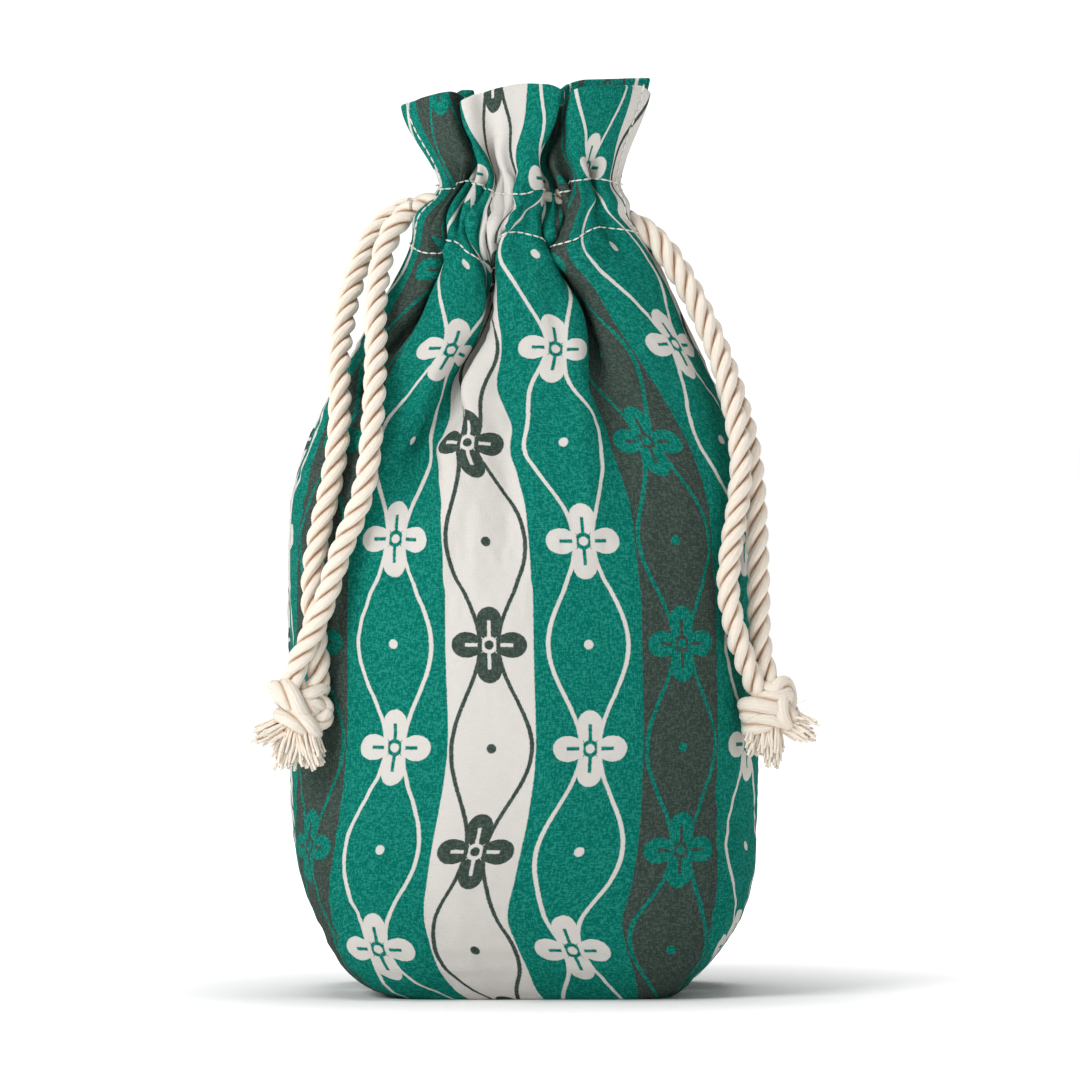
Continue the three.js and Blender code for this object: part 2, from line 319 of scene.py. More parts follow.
@dataclass
class ClothPanel:
    """One of the two panels: base, side, casing and frill, folded inside at the rim and down to its hem."""

    side: Side
    plan: FoldPlan
    envelope: Envelope
    edge_start: Profile
    edge_end: Profile
    lower_rise: Profile
    upper_rise: Profile
    rim_rise: Profile
    sway: Profile
    seam_groove: float = 0.9
    seam_reach: float = 1.7
    held_edge: float = 10.0
    free_edge: float = 30.0
    fold_span: float = 22.0
    fold_blur: float = 9.0
    sway_wave: float = 0.35
    sway_across: float = 17.0
    sway_up: float = 21.0
    look_ahead: float = 2.0
    halvings: int = 24
    ironing: float = 2.6
    ironed_over: float = 30.0
    ironed_rim: float = 4.0
    columns: int = 187
    depth: Profile = Profile(
        ((0, 4), (100, 5), (150, 12), (196, 17), (207, 14), (212, 8.4), (226, 8.4), (228.7, 11), (236, 15),
         (246, 19), (257, 20))
    )
    cloth: float = 0.55
    fold_gap: float = 0.2
    floor_rows: int = 12
    first_rise: float = 0.35
    rise_growth: float = 0.12
    rise_step: float = 1.6
    smooth_below: float = 140.0
    lower_row: float = 210.5
    upper_row: float = 228.7
    rim: float = 254.9
    casing_steps: int = 18
    frill_steps: int = 22
    rim_steps: int = 5
    flap_steps: int = 8
    flap_width: float = 54.0
    flap_gap: float = 1.3
    flap_turn: float = 2.4
    hem_drop: float = 4.0
    side_hem: int = 4
    stitch_lift: float = 0.12
    width: float = CUT_WIDTH
    body_rows: int = field(init=False)
    casing_rows: int = field(init=False)
    flat_length: float = field(init=False)

    @property
    def across(self) -> Points:
        """Each column's place on the flat cloth, from its middle."""
        return np.linspace(-self.width / 2, self.width / 2, self.columns)

    @property
    def from_edge(self) -> Points:
        """Each column's distance from the nearer edge of the cloth."""
        return np.minimum(self.across + self.width / 2, self.width / 2 - self.across)

    def span(self, height: float, inset: float = 0.0) -> tuple[Points, Points, float, float]:
        """Find the stretch of a section that this panel covers.

        Args:
            height: where the section lies.
            inset: how far its walls stand in.

        Returns:
            The section's points and arc lengths, and the arc lengths where the panel starts and ends.
        """
        points, arc = self.envelope.outline(height, inset)
        half, full = arc[len(arc) // 2], arc[-1]
        if self.side is Side.FRONT:
            return points, arc, float(self.edge_start.at(height)), half + float(self.edge_end.at(height))
        return points, arc, half + float(self.edge_start.at(height)), full + float(self.edge_end.at(height))

    def row(self, height: float, inset: float = 0.0) -> Points:
        """Lay the cloth along one level section, with its folds, so that its width stays what it was cut to.

        Args:
            height: where the row lies.
            inset: how far the row stands in from the outer layer's envelope.

        Returns:
            The row's points in plan, from the panel's first edge to its last.
        """
        across, from_edge = self.across, self.from_edge
        points, arc, start, end = self.span(height, inset)
        angles = self.plan.angles(across, height)
        share = (end - start) / self.width
        low, high = 0.0, 1.0
        for _ in range(self.halvings):
            middle = (low + high) / 2
            if np.mean(np.cos(self.plan.pressed(angles, height, middle))) > share:
                high = middle
            else:
                low = middle
        step = self.width / (self.columns - 1)
        angles = self.plan.pressed(angles, height, high)
        between = (angles[1:] + angles[:-1]) / 2
        along, out = running(np.cos(between)), running(np.sin(between)) * step
        along = along / along[-1] * (end - start) + start
        loose = np.clip(from_edge / self.free_edge, 0, 1)
        wave = 1 + self.sway_wave * np.sin(across / self.sway_across + height / self.sway_up)
        along = along + self.sway.at(height) * loose * wave
        out = out - np.linspace(out[0], out[-1], len(out))
        reach = int(self.fold_span / step)
        widened = np.pad(out, reach, mode="edge")
        ridges = np.lib.stride_tricks.sliding_window_view(widened, 2 * reach + 1).max(axis=1)
        out = out - blurred(ridges, self.fold_blur / step)
        out *= eased(np.clip(from_edge / self.held_edge, 0, 1))
        depth = float(self.depth.at(height))
        out = np.where(out < 0, -depth * np.tanh(-out / depth), out)
        if height < self.lower_row:
            out = out - self.seam_groove * np.exp(-((from_edge / self.seam_reach) ** 2))
        along = np.mod(along, arc[-1])
        behind, place, ahead = (
            along_line(points, arc, np.mod(along + shift * self.look_ahead, arc[-1])) for shift in (-1, 0, 1)
        )
        tangent = ahead - behind
        tangent /= np.linalg.norm(tangent, axis=1)[:, None]
        outward = np.stack([tangent[:, 1], -tangent[:, 0]], axis=1)
        return place + outward * out[:, None]

    def grid(self) -> Points:
        """Lay out the whole panel, from the seam under the base to the hem inside the casing.

        Returns:
            An array of rows by columns by three coordinates, in millimetres.
        """
        rows: list[Points] = []
        edge = self.row(0)
        seam = np.column_stack([np.linspace(edge[0, 0], edge[-1, 0], self.columns), np.zeros(self.columns)])
        for t in np.linspace(0, 1, self.floor_rows, endpoint=False):
            rows.append(np.column_stack([seam * (1 - t) + edge * t, np.zeros(self.columns)]))
        heights = [0.0]
        while heights[-1] < self.lower_row:
            rise = self.first_rise + heights[-1] * self.rise_growth
            heights.append(heights[-1] + min(self.rise_step, rise))
        heights = np.array(heights) * self.lower_row / heights[-1]
        casing = np.linspace(self.lower_row, self.upper_row, self.casing_steps + 1)[1:]
        frill = np.linspace(self.upper_row, self.rim, self.frill_steps + 1)[1:]
        levels = np.concatenate([heights, casing, frill])
        outer = self.ironed(np.array([self.raised(z) for z in levels]), levels)
        self.body_rows = len(rows) + len(heights)
        self.casing_rows = self.body_rows + len(casing)
        rows += list(outer)
        frill = list(outer[-len(frill) :])
        layers = 2 * self.cloth + self.fold_gap
        inward = self.inward(frill[-1])
        for angle in np.linspace(0, math.pi, self.rim_steps + 1)[1:]:
            moved = frill[-1].copy()
            moved[:, :2] += inward * (layers / 2 * (1 - math.cos(angle)))
            moved[:, 2] += layers / 2 * math.sin(angle)
            rows.append(moved)
        for row in frill[-2::-1]:
            moved = row.copy()
            moved[:, :2] += self.inward(row) * layers
            rows.append(moved)
        above, way = rows[-1], self.side.value
        end = way * self.flap_width / 2
        behind = np.full(self.columns, self.flap_gap * way)
        flat = np.column_stack([np.linspace(end, -end, self.columns), behind])
        bottom = self.lower_row + self.hem_drop
        for t in np.linspace(0, 1, self.flap_steps + 1)[1:]:
            part = eased(min(t * self.flap_turn, 1.0))
            plan = above[:, :2] * (1 - part) + flat * part
            rows.append(np.column_stack([plan, above[:, 2] * (1 - t) + bottom * t]))
        return np.array(rows)

    def ironed(self, rows: Points, levels: Points) -> Points:
        """Even out the gathered rows from level to level, so that the folds run on as cloth does.

        Args:
            rows: the rows of the outer layer, in millimetres.
            levels: the height of each.

        Returns:
            The rows, changed above the smooth part of the body.
        """
        soft = np.apply_along_axis(blurred, 0, rows, self.ironing)
        share = np.clip((levels - self.plan.gather_from) / self.ironed_over, 0, 1)
        share *= np.clip((self.rim - levels) / self.ironed_rim, 0, 1)
        return rows + (soft - rows) * share[:, None, None]

    def raised(self, height: float) -> Points:
        """Lay one row and lift or drop its parts, as the gathers pull them.

        Args:
            height: the row's level before that.

        Returns:
            The row's points.
        """
        levels = (self.smooth_below, self.lower_row, self.upper_row, self.rim)
        profiles = (self.lower_rise, self.upper_rise, self.rim_rise)
        rises = [0 * self.across] + [profile.at(self.across) for profile in profiles]
        k = int(np.clip(np.searchsorted(levels, height, side="right") - 1, 0, 2))
        t = float(np.clip((height - levels[k]) / (levels[k + 1] - levels[k]), 0, 1))
        t = eased(t) if k else t**2
        rise = rises[k] * (1 - t) + rises[k + 1] * t
        return np.column_stack([self.row(height), height + rise])

    def seams(self, grid: Points) -> dict[str, Points]:
        """Find the lines that are sewn on the panel's face.

        Args:
            grid: the panel's grid, in millimetres.

        Returns:
            Each line's points, by its name.
        """
        outer = np.stack([np.column_stack([-self.inward(row), np.zeros(self.columns)]) for row in grid])
        face = grid + outer * self.stitch_lift
        rows = slice(self.body_rows - 1, self.casing_rows + self.frill_steps)
        return {
            "lower": face[self.body_rows - 1],
            "upper": face[self.casing_rows - 1],
            "first_hem": face[rows, self.side_hem],
            "last_hem": face[rows, -1 - self.side_hem],
        }

    def inward(self, row: Points) -> Points:
        """Find which way is into the pouch along one row.

        Args:
            row: the row's points.

        Returns:
            A unit vector in plan at each point.
        """
        tangent = np.gradient(row[:, :2], axis=0)
        tangent /= np.linalg.norm(tangent, axis=1)[:, None]
        return np.stack([-tangent[:, 1], tangent[:, 0]], axis=1)

    def build(self, name: str, material: bpy.types.Material, grid: Points) -> bpy.types.Object:
        """Make the panel's cloth from its grid.

        Args:
            name: the object's name.
            material: its finish.
            grid: the panel's grid, in millimetres.

        Returns:
            The object, as thick as the cloth.
        """
        rows, columns = grid.shape[:2]
        obj = make_object(name, grid.reshape(-1, 3) * MM, grid_faces(rows, columns))
        along = running(np.median(np.linalg.norm(np.diff(grid, axis=0), axis=2), axis=1))
        self.flat_length = float(along[-1])
        uv = np.stack(np.meshgrid(self.across, along), axis=2).reshape(-1, 2)
        set_uv(obj, uv * MM)
        obj.data.materials.append(material)
        solid = obj.modifiers.new("thickness", "SOLIDIFY")
        solid.thickness = self.cloth * MM
        solid.offset = -1
        solid.use_even_offset = False
        return settle(obj)


@dataclass(frozen=True)
class Dents:
    """Small creases at random places, each a shallow groove or ridge across a few yarns, in millimetres."""

    count: int
    heights: tuple[float, float]
    reach: float
    length: tuple[float, float]
    width: tuple[float, float]
    depth: tuple[float, float]
    lean: float
    seed: int
    back_seed: int = 40
    held_edge: float = 10.0
    above_casing: int = 4

    def pressed(self, panel: ClothPanel, grid: Points) -> Points:
        """Press the creases into a panel's outer layer.

        Args:
            panel: the panel.
            grid: its grid, in millimetres.

        Returns:
            The creased grid.
        """
        draw = np.random.default_rng(self.seed + self.back_seed * (panel.side is Side.BACK))
        sunk = np.zeros(grid.shape[:2])
        for _ in range(self.count):
            middle = draw.uniform(-self.reach, self.reach)
            height = draw.uniform(*self.heights)
            length, width, depth = (draw.uniform(*pair) for pair in (self.length, self.width, self.depth))
            lean = math.radians(draw.normal(0, self.lean))
            u, v = panel.across[None] - middle, grid[:, :, 2] - height
            off, along = u * math.cos(lean) + v * math.sin(lean), v * math.cos(lean) - u * math.sin(lean)
            sunk += depth * np.exp(-((off / width) ** 2) - (along / length) ** 2)
        sunk[: panel.floor_rows] = sunk[panel.casing_rows + self.above_casing :] = 0
        sunk *= np.clip((panel.width / 2 - np.abs(panel.across)) / self.held_edge, 0, 1)
        inward = np.stack([panel.inward(row) for row in grid])
        return grid + np.dstack([inward * sunk[:, :, None], 0 * sunk])


CREASES = (
    Dents(60, (200, 227), reach=80, length=(3, 7), width=(2, 4), depth=(-2.3, 0.7), lean=30, seed=5),
    Dents(12, (142, 195), reach=75, length=(8, 18), width=(2.5, 4.5), depth=(-0.6, 0.9), lean=18, seed=6),
    Dents(10, (18, 72), reach=72, length=(12, 26), width=(4, 8), depth=(-0.8, 1.0), lean=25, seed=7),
)


def make_object(
    name: str, points: Points, faces: list[tuple[int, ...]], edges: list[tuple[int, int]] | None = None
) -> bpy.types.Object:
    """Make a mesh object at the origin.

    Args:
        name: the object's name.
        points: its vertices, in metres.
        faces: its faces, as vertex numbers.
        edges: its loose edges, as vertex numbers.

    Returns:
        The object, linked to the scene and shaded smooth.
    """
    mesh = bpy.data.meshes.new(name)
    mesh.from_pydata([tuple(map(float, p)) for p in points], edges or [], faces)
    mesh.update()
    mesh.shade_smooth()
    obj = bpy.data.objects.new(name, mesh)
    bpy.context.scene.collection.objects.link(obj)
    return obj


def settle(obj: bpy.types.Object) -> bpy.types.Object:
    """Turn an object's modifiers into plain mesh.

    Args:
        obj: the object.

    Returns:
        The same object, with the evaluated mesh and no modifiers.
    """
    evaluated = obj.evaluated_get(bpy.context.evaluated_depsgraph_get())
    mesh = bpy.data.meshes.new_from_object(evaluated)
    obj.modifiers.clear()
    obj.data = mesh
    return obj


def grid_faces(rows: int, columns: int) -> list[tuple[int, int, int, int]]:
    """List the quads of a grid of vertices, facing out where it rises with its row number."""
    return [
        (r * columns + c, r * columns + c + 1, (r + 1) * columns + c + 1, (r + 1) * columns + c)
        for r in range(rows - 1)
        for c in range(columns - 1)
    ]


def set_uv(obj: bpy.types.Object, uv: Points, name: str = "cloth") -> None:
    """Give an object a UV map.

    Args:
        obj: the object.
        uv: the place of each vertex, in metres of flat cloth or yarn.
        name: the map's name.
    """
    layer = obj.data.uv_layers.new(name=name)
    corner = np.empty(len(obj.data.loops), dtype=np.int32)
    obj.data.loops.foreach_get("vertex_index", corner)
    layer.data.foreach_set("uv", uv[corner].astype(np.float32).ravel())


@dataclass(frozen=True)
class Settling:
    """A short cloth simulation that lets the filled pouch's sides slacken, bulge and crease.

    It runs ten times larger than life on every second row and column. The stitch row above, the side
    seams and the base below stay where they are.
    """

    size: float = 0.01
    every: int = 2
    frames: int = 26
    slack: float = 0.03
    pressure: float = 1.1
    gravity: float = 0.15
    mass: float = 0.3
    stretching: float = 30.0
    shearing: float = 8.0
    bending: float = 1.2
    damping: float = 8.0
    bending_damping: float = 2.0
    air_damping: float = 4.0
    quality: int = 6
    blur: float = 3.0

    def moved(self, grid: Points, first: int, last: int) -> Points:
        """Settle the rows of a panel between its base and its casing.

        Args:
            grid: the panel's grid, in millimetres.
            first: the row at the base's edge.
            last: the lower stitch row.

        Returns:
            The settled grid.
        """
        rows = np.unique(np.append(np.arange(first, last, self.every), last))
        columns = np.unique(np.append(np.arange(0, grid.shape[1], self.every), grid.shape[1] - 1))
        coarse = grid[np.ix_(rows, columns)]
        obj = make_object("settling cloth", coarse.reshape(-1, 3) * self.size, grid_faces(*coarse.shape[:2]))
        obj.shape_key_add(name="start")
        flat = obj.shape_key_add(name="flat")
        flat.data.foreach_set("co", self.cut(coarse).astype(np.float32).ravel())
        held = np.zeros(coarse.shape[:2], dtype=bool)
        held[[0, -1]] = held[:, [0, -1]] = True
        group = obj.vertex_groups.new(name="held")
        group.add(np.flatnonzero(held.ravel()).tolist(), 1.0, "REPLACE")
        cloth = obj.modifiers.new("cloth", "CLOTH")
        settings = cloth.settings
        settings.vertex_group_mass = "held"
        settings.rest_shape_key = flat
        settings.quality = self.quality
        settings.mass = self.mass
        settings.tension_stiffness = settings.compression_stiffness = self.stretching
        settings.shear_stiffness = self.shearing
        settings.bending_stiffness = self.bending
        settings.tension_damping = settings.compression_damping = self.damping
        settings.bending_damping = self.bending_damping
        settings.air_damping = self.air_damping
        settings.use_pressure = True
        settings.uniform_pressure_force = self.pressure
        settings.effector_weights.gravity = self.gravity
        cloth.collision_settings.use_collision = False
        scene = bpy.context.scene
        cloth.point_cache.frame_end = self.frames + 1
        for frame in range(1, self.frames + 1):
            scene.frame_set(frame)
        mesh = obj.evaluated_get(bpy.context.evaluated_depsgraph_get()).data
        after = np.empty(len(mesh.vertices) * 3, dtype=np.float32)
        mesh.vertices.foreach_get("co", after)
        shift = after.reshape(coarse.shape) / self.size - coarse
        scene.frame_set(1)
        bpy.data.objects.remove(obj, do_unlink=True)
        LOG.info("settling moved the cloth by up to %.1f mm", float(np.abs(shift).max()))
        result = grid.copy()
        tall, wide = last - first + 1, grid.shape[1]
        result[first : last + 1] += stretched_grid(shift, rows - first, columns, tall, wide)
        return result

    def cut(self, coarse: Points) -> Points:
        """Lay the cloth flat as it was cut, a little longer and wider than it hangs.

        Args:
            coarse: the grid that is simulated, in millimetres.

        Returns:
            The flat grid, at the simulation's size.
        """
        widths = np.linalg.norm(np.diff(coarse, axis=1), axis=2).sum(axis=1)
        rises = np.median(np.linalg.norm(np.diff(coarse, axis=0), axis=2), axis=1)
        share = np.linspace(-0.5, 0.5, coarse.shape[1])
        widths = blurred(widths, self.blur) * (1 + self.slack)
        along = running(rises) * (1 + self.slack)
        flat = np.zeros(coarse.shape)
        flat[:, :, 0] = widths[:, None] * share[None]
        flat[:, :, 2] = along[:, None]
        return flat * self.size


def stretched_grid(values: Points, rows: Points, columns: Points, height: int, width: int) -> Points:
    """Spread a coarse grid of vectors over a fine one.

    Args:
        values: the coarse grid.
        rows: which fine row each coarse row is.
        columns: which fine column each coarse column is.
        height: how many fine rows there are.
        width: how many fine columns there are.

    Returns:
        The fine grid.
    """
    wide = np.empty((values.shape[0], width, 3))
    for r in range(values.shape[0]):
        for k in range(3):
            wide[r, :, k] = np.interp(np.arange(width), columns, values[r, :, k])
    full = np.empty((height, width, 3))
    for c in range(width):
        for k in range(3):
            full[:, c, k] = np.interp(np.arange(height), rows, wide[:, c, k])
    return full


@dataclass(frozen=True)
class Value:
    """An output socket that can be reckoned with like a number."""

    tree: "Tree"
    socket: bpy.types.NodeSocket

    def __add__(self, other: "Value | float") -> "Value":
        """Add."""
        return self.tree.math("ADD", self, other)

    def __radd__(self, other: float) -> "Value":
        """Add to a plain number."""
        return self.tree.math("ADD", other, self)

    def __sub__(self, other: "Value | float") -> "Value":
        """Subtract."""
        return self.tree.math("SUBTRACT", self, other)

    def __rsub__(self, other: float) -> "Value":
        """Subtract from a plain number."""
        return self.tree.math("SUBTRACT", other, self)

    def __mul__(self, other: "Value | float") -> "Value":
        """Multiply."""
        return self.tree.math("MULTIPLY", self, other)

    def __rmul__(self, other: float) -> "Value":
        """Multiply a plain number."""
        return self.tree.math("MULTIPLY", other, self)

    def __truediv__(self, other: "Value | float") -> "Value":
        """Divide."""
        return self.tree.math("DIVIDE", self, other)

    def __pow__(self, other: float) -> "Value":
        """Raise to a power."""
        return self.tree.math("POWER", self, other)

    def __abs__(self) -> "Value":
        """Drop the sign."""
        return self.tree.math("ABSOLUTE", self)

    def __mod__(self, other: float) -> "Value":
        """Take the remainder, never below zero."""
        return self.tree.math("FLOORED_MODULO", self, other)


@dataclass(frozen=True)
class Tree:
    """A node tree written as sums: one method per kind of step, and one for any other node."""

    nodes: bpy.types.NodeTree

    def node(self, kind: str, inputs: dict | None = None, output: int | str = 0, **settings: object) -> Value:
        """Add any node.

        Args:
            kind: the node's type.
            inputs: values or sockets by the input's name or number.
            output: which output to hand back.
            settings: the node's own properties.

        Returns:
            The chosen output.
        """
        made = self.nodes.nodes.new(kind)
        for name, value in settings.items():
            setattr(made, name, value)
        for key, value in (inputs or {}).items():
            if isinstance(value, Value):
                self.nodes.links.new(value.socket, made.inputs[key])
            elif value is not None:
                made.inputs[key].default_value = value
        return Value(self, made.outputs[output])

    def math(self, kind: str, *values: "Value | float") -> Value:
        """Do one sum."""
        return self.node("ShaderNodeMath", dict(enumerate(values)), operation=kind)

    def vector(self, kind: str, *values: "Value | tuple", output: int | str = 0) -> Value:
        """Do one vector sum."""
        return self.node("ShaderNodeVectorMath", dict(enumerate(values)), output, operation=kind)

    def step(self, value: Value, edge: float, width: float) -> Value:
        """Rise from 0 to 1 around an edge.

        Args:
            value: what is measured.
            edge: where it reaches a half.
            width: how wide the rise is.

        Returns:
            The soft step.
        """
        ends = {0: value, 1: edge - width / 2, 2: edge + width / 2}
        return self.node("ShaderNodeMapRange", ends, interpolation_type="SMOOTHSTEP")

    def blend(self, share: "Value | float", first: "Value | tuple", second: "Value | tuple") -> Value:
        """Mix two colours.

        Args:
            share: how much of the second.
            first: one colour.
            second: the other.

        Returns:
            The mixed colour.
        """
        inputs = {0: share, 6: rgba(first), 7: rgba(second)}
        return self.node("ShaderNodeMix", inputs, 2, data_type="RGBA")

    def noise(self, place: Value, scale: float, detail: float = 2.0) -> Value:
        """Read a cloudy pattern, about 0 to 1, around a half."""
        inputs = {"Vector": place, "Scale": scale, "Detail": detail}
        return self.node("ShaderNodeTexNoise", inputs, noise_dimensions="3D")

    def stretched(self, place: Value, scale: tuple[float, float, float]) -> Value:
        """Scale a place by axis."""
        return self.vector("MULTIPLY", place, scale)

    def part(self, place: Value, axis: int) -> Value:
        """Take one number of a place: 0 for X, 1 for Y, 2 for Z."""
        return self.node("ShaderNodeSeparateXYZ", {0: place}, axis)

    def cloudy(self, place: Value, scale: tuple[float, float, float], detail: float = 2.0) -> Value:
        """Read a cloudy pattern that is drawn out along an axis."""
        return self.noise(self.stretched(place, scale), 1.0, detail)

    def darkened(self, share: "Value | float", colour: Value, tint: tuple) -> Value:
        """Multiply a colour by a share of a tint."""
        inputs = {0: share, 6: colour, 7: tint}
        return self.node("ShaderNodeMix", inputs, 2, data_type="RGBA", blend_type="MULTIPLY")

    def emboss(self, shader: bpy.types.Node, height: Value, strength: float, distance: float) -> None:
        """Give a shader a relief.

        Args:
            shader: the shader node.
            height: the relief's height, about 0 to 1.
            strength: how much of it shows.
            distance: its full height, in metres.
        """
        bump = self.node("ShaderNodeBump", {"Strength": strength, "Distance": distance, "Height": height})
        self.nodes.links.new(bump.socket, shader.inputs["Normal"])


def rgba(colour: "Value | tuple") -> "Value | tuple":
    """Turn an sRGB colour in 0 to 255 into a linear one, and leave a socket alone.

    Args:
        colour: a socket or three numbers.

    Returns:
        The socket, or the linear colour with full alpha.
    """
    if isinstance(colour, Value):
        return colour
    shares = [c / 255 for c in colour]
    return (*(c / 12.92 if c <= 0.04045 else ((c + 0.055) / 1.055) ** 2.4 for c in shares), 1.0)


def new_material(
    name: str, constants: dict[str, float | tuple]
) -> tuple[bpy.types.Material, Tree, bpy.types.Node]:
    """Start a material.

    Args:
        name: its name.
        constants: values for the shader's own sockets.

    Returns:
        The material, its tree and its shader node.
    """
    material = bpy.data.materials.new(name)
    material.use_nodes = True
    shader = material.node_tree.nodes["Principled BSDF"]
    for key, value in constants.items():
        shader.inputs[key].default_value = value
    return material, Tree(material.node_tree), shader


@dataclass(frozen=True)
class PrintedCanvas:
    """A canvas printed with vertical stripes, wavy lines that part and meet, and four-petal flowers."""

    green: tuple[int, int, int] = (4, 108, 95)
    charcoal: tuple[int, int, int] = (54, 67, 61)
    cream: tuple[int, int, int] = (201, 197, 192)
    repeat: float = 112.0
    green_width: float = 31.0
    other_width: float = 25.0
    shift: float = 59.0
    wave: float = 58.0
    wave_middle: float = 7.0
    wave_swing: float = 4.4
    flower: float = 11.0
    heart: float = 1.3
    heart_gap: float = 2.4
    vein: float = 1.0
    vein_share: float = 0.62
    seed: float = 1.35
    line: float = 1.25
    thread: float = 0.62
    edge: float = 0.35
    bleed: float = 0.35
    pale_green: tuple[int, int, int] = (66, 166, 146)
    pale_charcoal: tuple[int, int, int] = (120, 134, 126)
    shade: tuple[float, float, float, float] = (0.35, 0.42, 0.42, 1)
    flecks: float = 0.25
    shading: float = 0.42
    fleck_start: float = 0.62
    fleck_fade: float = 0.34
    dark_flecks: float = 0.35
    bare_share: float = 0.93
    bump: float = 0.55
    relief: float = 0.00012

    def material(self, name: str) -> bpy.types.Material:
        """Make the cloth's material.

        Args:
            name: the material's name.

        Returns:
            The material.
        """
        material, tree, shader = new_material(name, {"Roughness": 0.9, "Specular IOR Level": 0.05})
        uv = tree.node("ShaderNodeUVMap", uv_map="cloth")
        place = tree.stretched(uv, (1000, 1000, 1000))
        bleed = tree.node("ShaderNodeTexNoise", {"Vector": place, "Scale": 1.1, "Detail": 1.0}, "Color")
        bleed = tree.vector("SUBTRACT", bleed, (0.5, 0.5, 0.5))
        wobble = tree.vector("ADD", place, tree.stretched(bleed, (self.bleed, self.bleed, 0)))
        across, along = tree.part(wobble, 0), tree.part(wobble, 1)
        cell = (across + self.shift) % self.repeat
        bounds = np.cumsum([0, self.green_width, self.other_width, self.green_width, self.other_width])
        cream_start, cream_end, in_charcoal = (tree.step(cell, float(b), self.edge) for b in bounds[1:4])
        in_cream = cream_start - cream_end
        centre = float(bounds[0] + bounds[1]) / 2
        for k in (1, 2, 3):
            passed = tree.math("GREATER_THAN", cell, float(bounds[k]))
            centre = passed * float((bounds[k + 1] - bounds[k - 1]) / 2) + centre
        offset = cell - centre
        turn = along / self.wave + (in_cream + in_charcoal) * 0.5
        swell = tree.math("COSINE", turn * (2 * math.pi))
        lines = abs(abs(offset) - (self.wave_middle - swell * self.wave_swing))
        drawn = 1 - tree.step(lines, self.line / 2, self.edge)
        drawn = tree.math("MAXIMUM", drawn, self.petals(tree, offset, ((turn + 0.5) % 1.0 - 0.5) * self.wave))
        drawn = tree.math("MAXIMUM", drawn, self.seeds(tree, offset, (turn % 1.0 - 0.5) * self.wave))
        ground = tree.blend(in_cream, tree.blend(in_charcoal, self.green, self.charcoal), self.cream)
        motif = tree.blend(in_cream, tree.blend(in_charcoal, self.cream, self.green), self.charcoal)
        ink = tree.blend(drawn, ground, motif)
        mottle = self.mottle(tree, place)
        inked = 1 - self.bare(tree, drawn, in_cream, in_charcoal) * self.bare_share
        dark = tree.math("MAXIMUM", in_cream, in_charcoal * (1 - drawn))
        toned = inked * (1 - dark * self.dark_flecks)
        light = tree.blend(dark, self.pale_green, self.pale_charcoal)
        fleck, spot = (tree.step(m, self.fleck_start, self.fleck_fade) for m in (mottle, 1 - mottle))
        flecked = tree.blend(fleck * toned * self.flecks, ink, light)
        colour = tree.darkened(spot * toned * self.shading, flecked, self.shade)
        tree.nodes.links.new(colour.socket, shader.inputs["Base Color"])
        tree.emboss(shader, self.weave(tree, place), self.bump, self.relief)
        return material

    def petals(self, tree: Tree, across: Value, along: Value) -> Value:
        """Draw one four-petal flower per wave, with a ring of ground left round its heart.

        Args:
            tree: the shader's tree.
            across: the place across the stripe, from its middle.
            along: the place along the stripe, from the flower's middle.

        Returns:
            Where ink goes.
        """
        reach = (across * across + along * along) ** 0.5
        angle = tree.math("ARCTAN2", along, across)
        lobe = abs(tree.math("COSINE", angle * 2)) ** 0.55 * self.flower
        petal = 1 - tree.step(reach - lobe, -0.3, self.edge)
        vein = 1 - tree.step(abs(tree.math("SINE", angle * 2)) * reach, self.vein, self.edge * 2)
        vein = vein * (1 - tree.step(reach, self.flower * self.vein_share, self.edge))
        hole = 1 - tree.step(reach, self.heart_gap, self.edge)
        heart = 1 - tree.step(reach, self.heart, self.edge)
        return tree.math("MAXIMUM", petal * (1 - hole) * (1 - vein), heart)

    def seeds(self, tree: Tree, across: Value, along: Value) -> Value:
        """Draw a small dot in the middle of each space between the waves."""
        reach = (across * across + along * along) ** 0.5
        return 1 - tree.step(reach, self.seed, self.edge)

    def bare(self, tree: Tree, drawn: Value, in_cream: Value, in_charcoal: Value) -> Value:
        """Find where the cloth is left cream, as ground or as motif."""
        on_green = drawn * (1 - in_cream) * (1 - in_charcoal)
        return tree.math("MAXIMUM", on_green, in_cream * (1 - drawn))

    def mottle(self, tree: Tree, place: Value) -> Value:
        """Vary how much ink each yarn took.

        Args:
            tree: the shader's tree.
            place: the place on the flat cloth, in millimetres.

        Returns:
            About 0 to 1, around a half.
        """
        long_ways = tree.cloudy(place, (2.6, 0.5, 1), 1.0)
        cross_ways = tree.cloudy(place, (0.5, 2.6, 1), 1.0)
        grain = tree.noise(place, 1.3, 2.0)
        return self.crossing(tree, place) * 0.42 + (long_ways + cross_ways + grain - 1.5) * 1.1 + 0.29

    def crossing(self, tree: Tree, place: Value) -> Value:
        """Draw a number of its own, 0 to 1, for each crossing of two yarns."""
        cell = tree.vector("FLOOR", tree.stretched(place, (1 / self.thread, 1 / self.thread, 1)))
        return tree.node("ShaderNodeTexWhiteNoise", {"Vector": cell}, noise_dimensions="3D")

    def weave(self, tree: Tree, place: Value) -> Value:
        """Raise the crossing yarns of a plain weave.

        Args:
            tree: the shader's tree.
            place: the place on the flat cloth, in millimetres.

        Returns:
            The height, about 0 to 1.
        """
        turn = math.pi / self.thread
        across, along = (tree.math("SINE", tree.part(place, axis) * turn) for axis in (0, 1))
        dome = abs(across * along) ** 0.6
        return dome * (0.5 + self.crossing(tree, place) * 0.7) + tree.noise(place, 1.1, 3.0) * 0.7


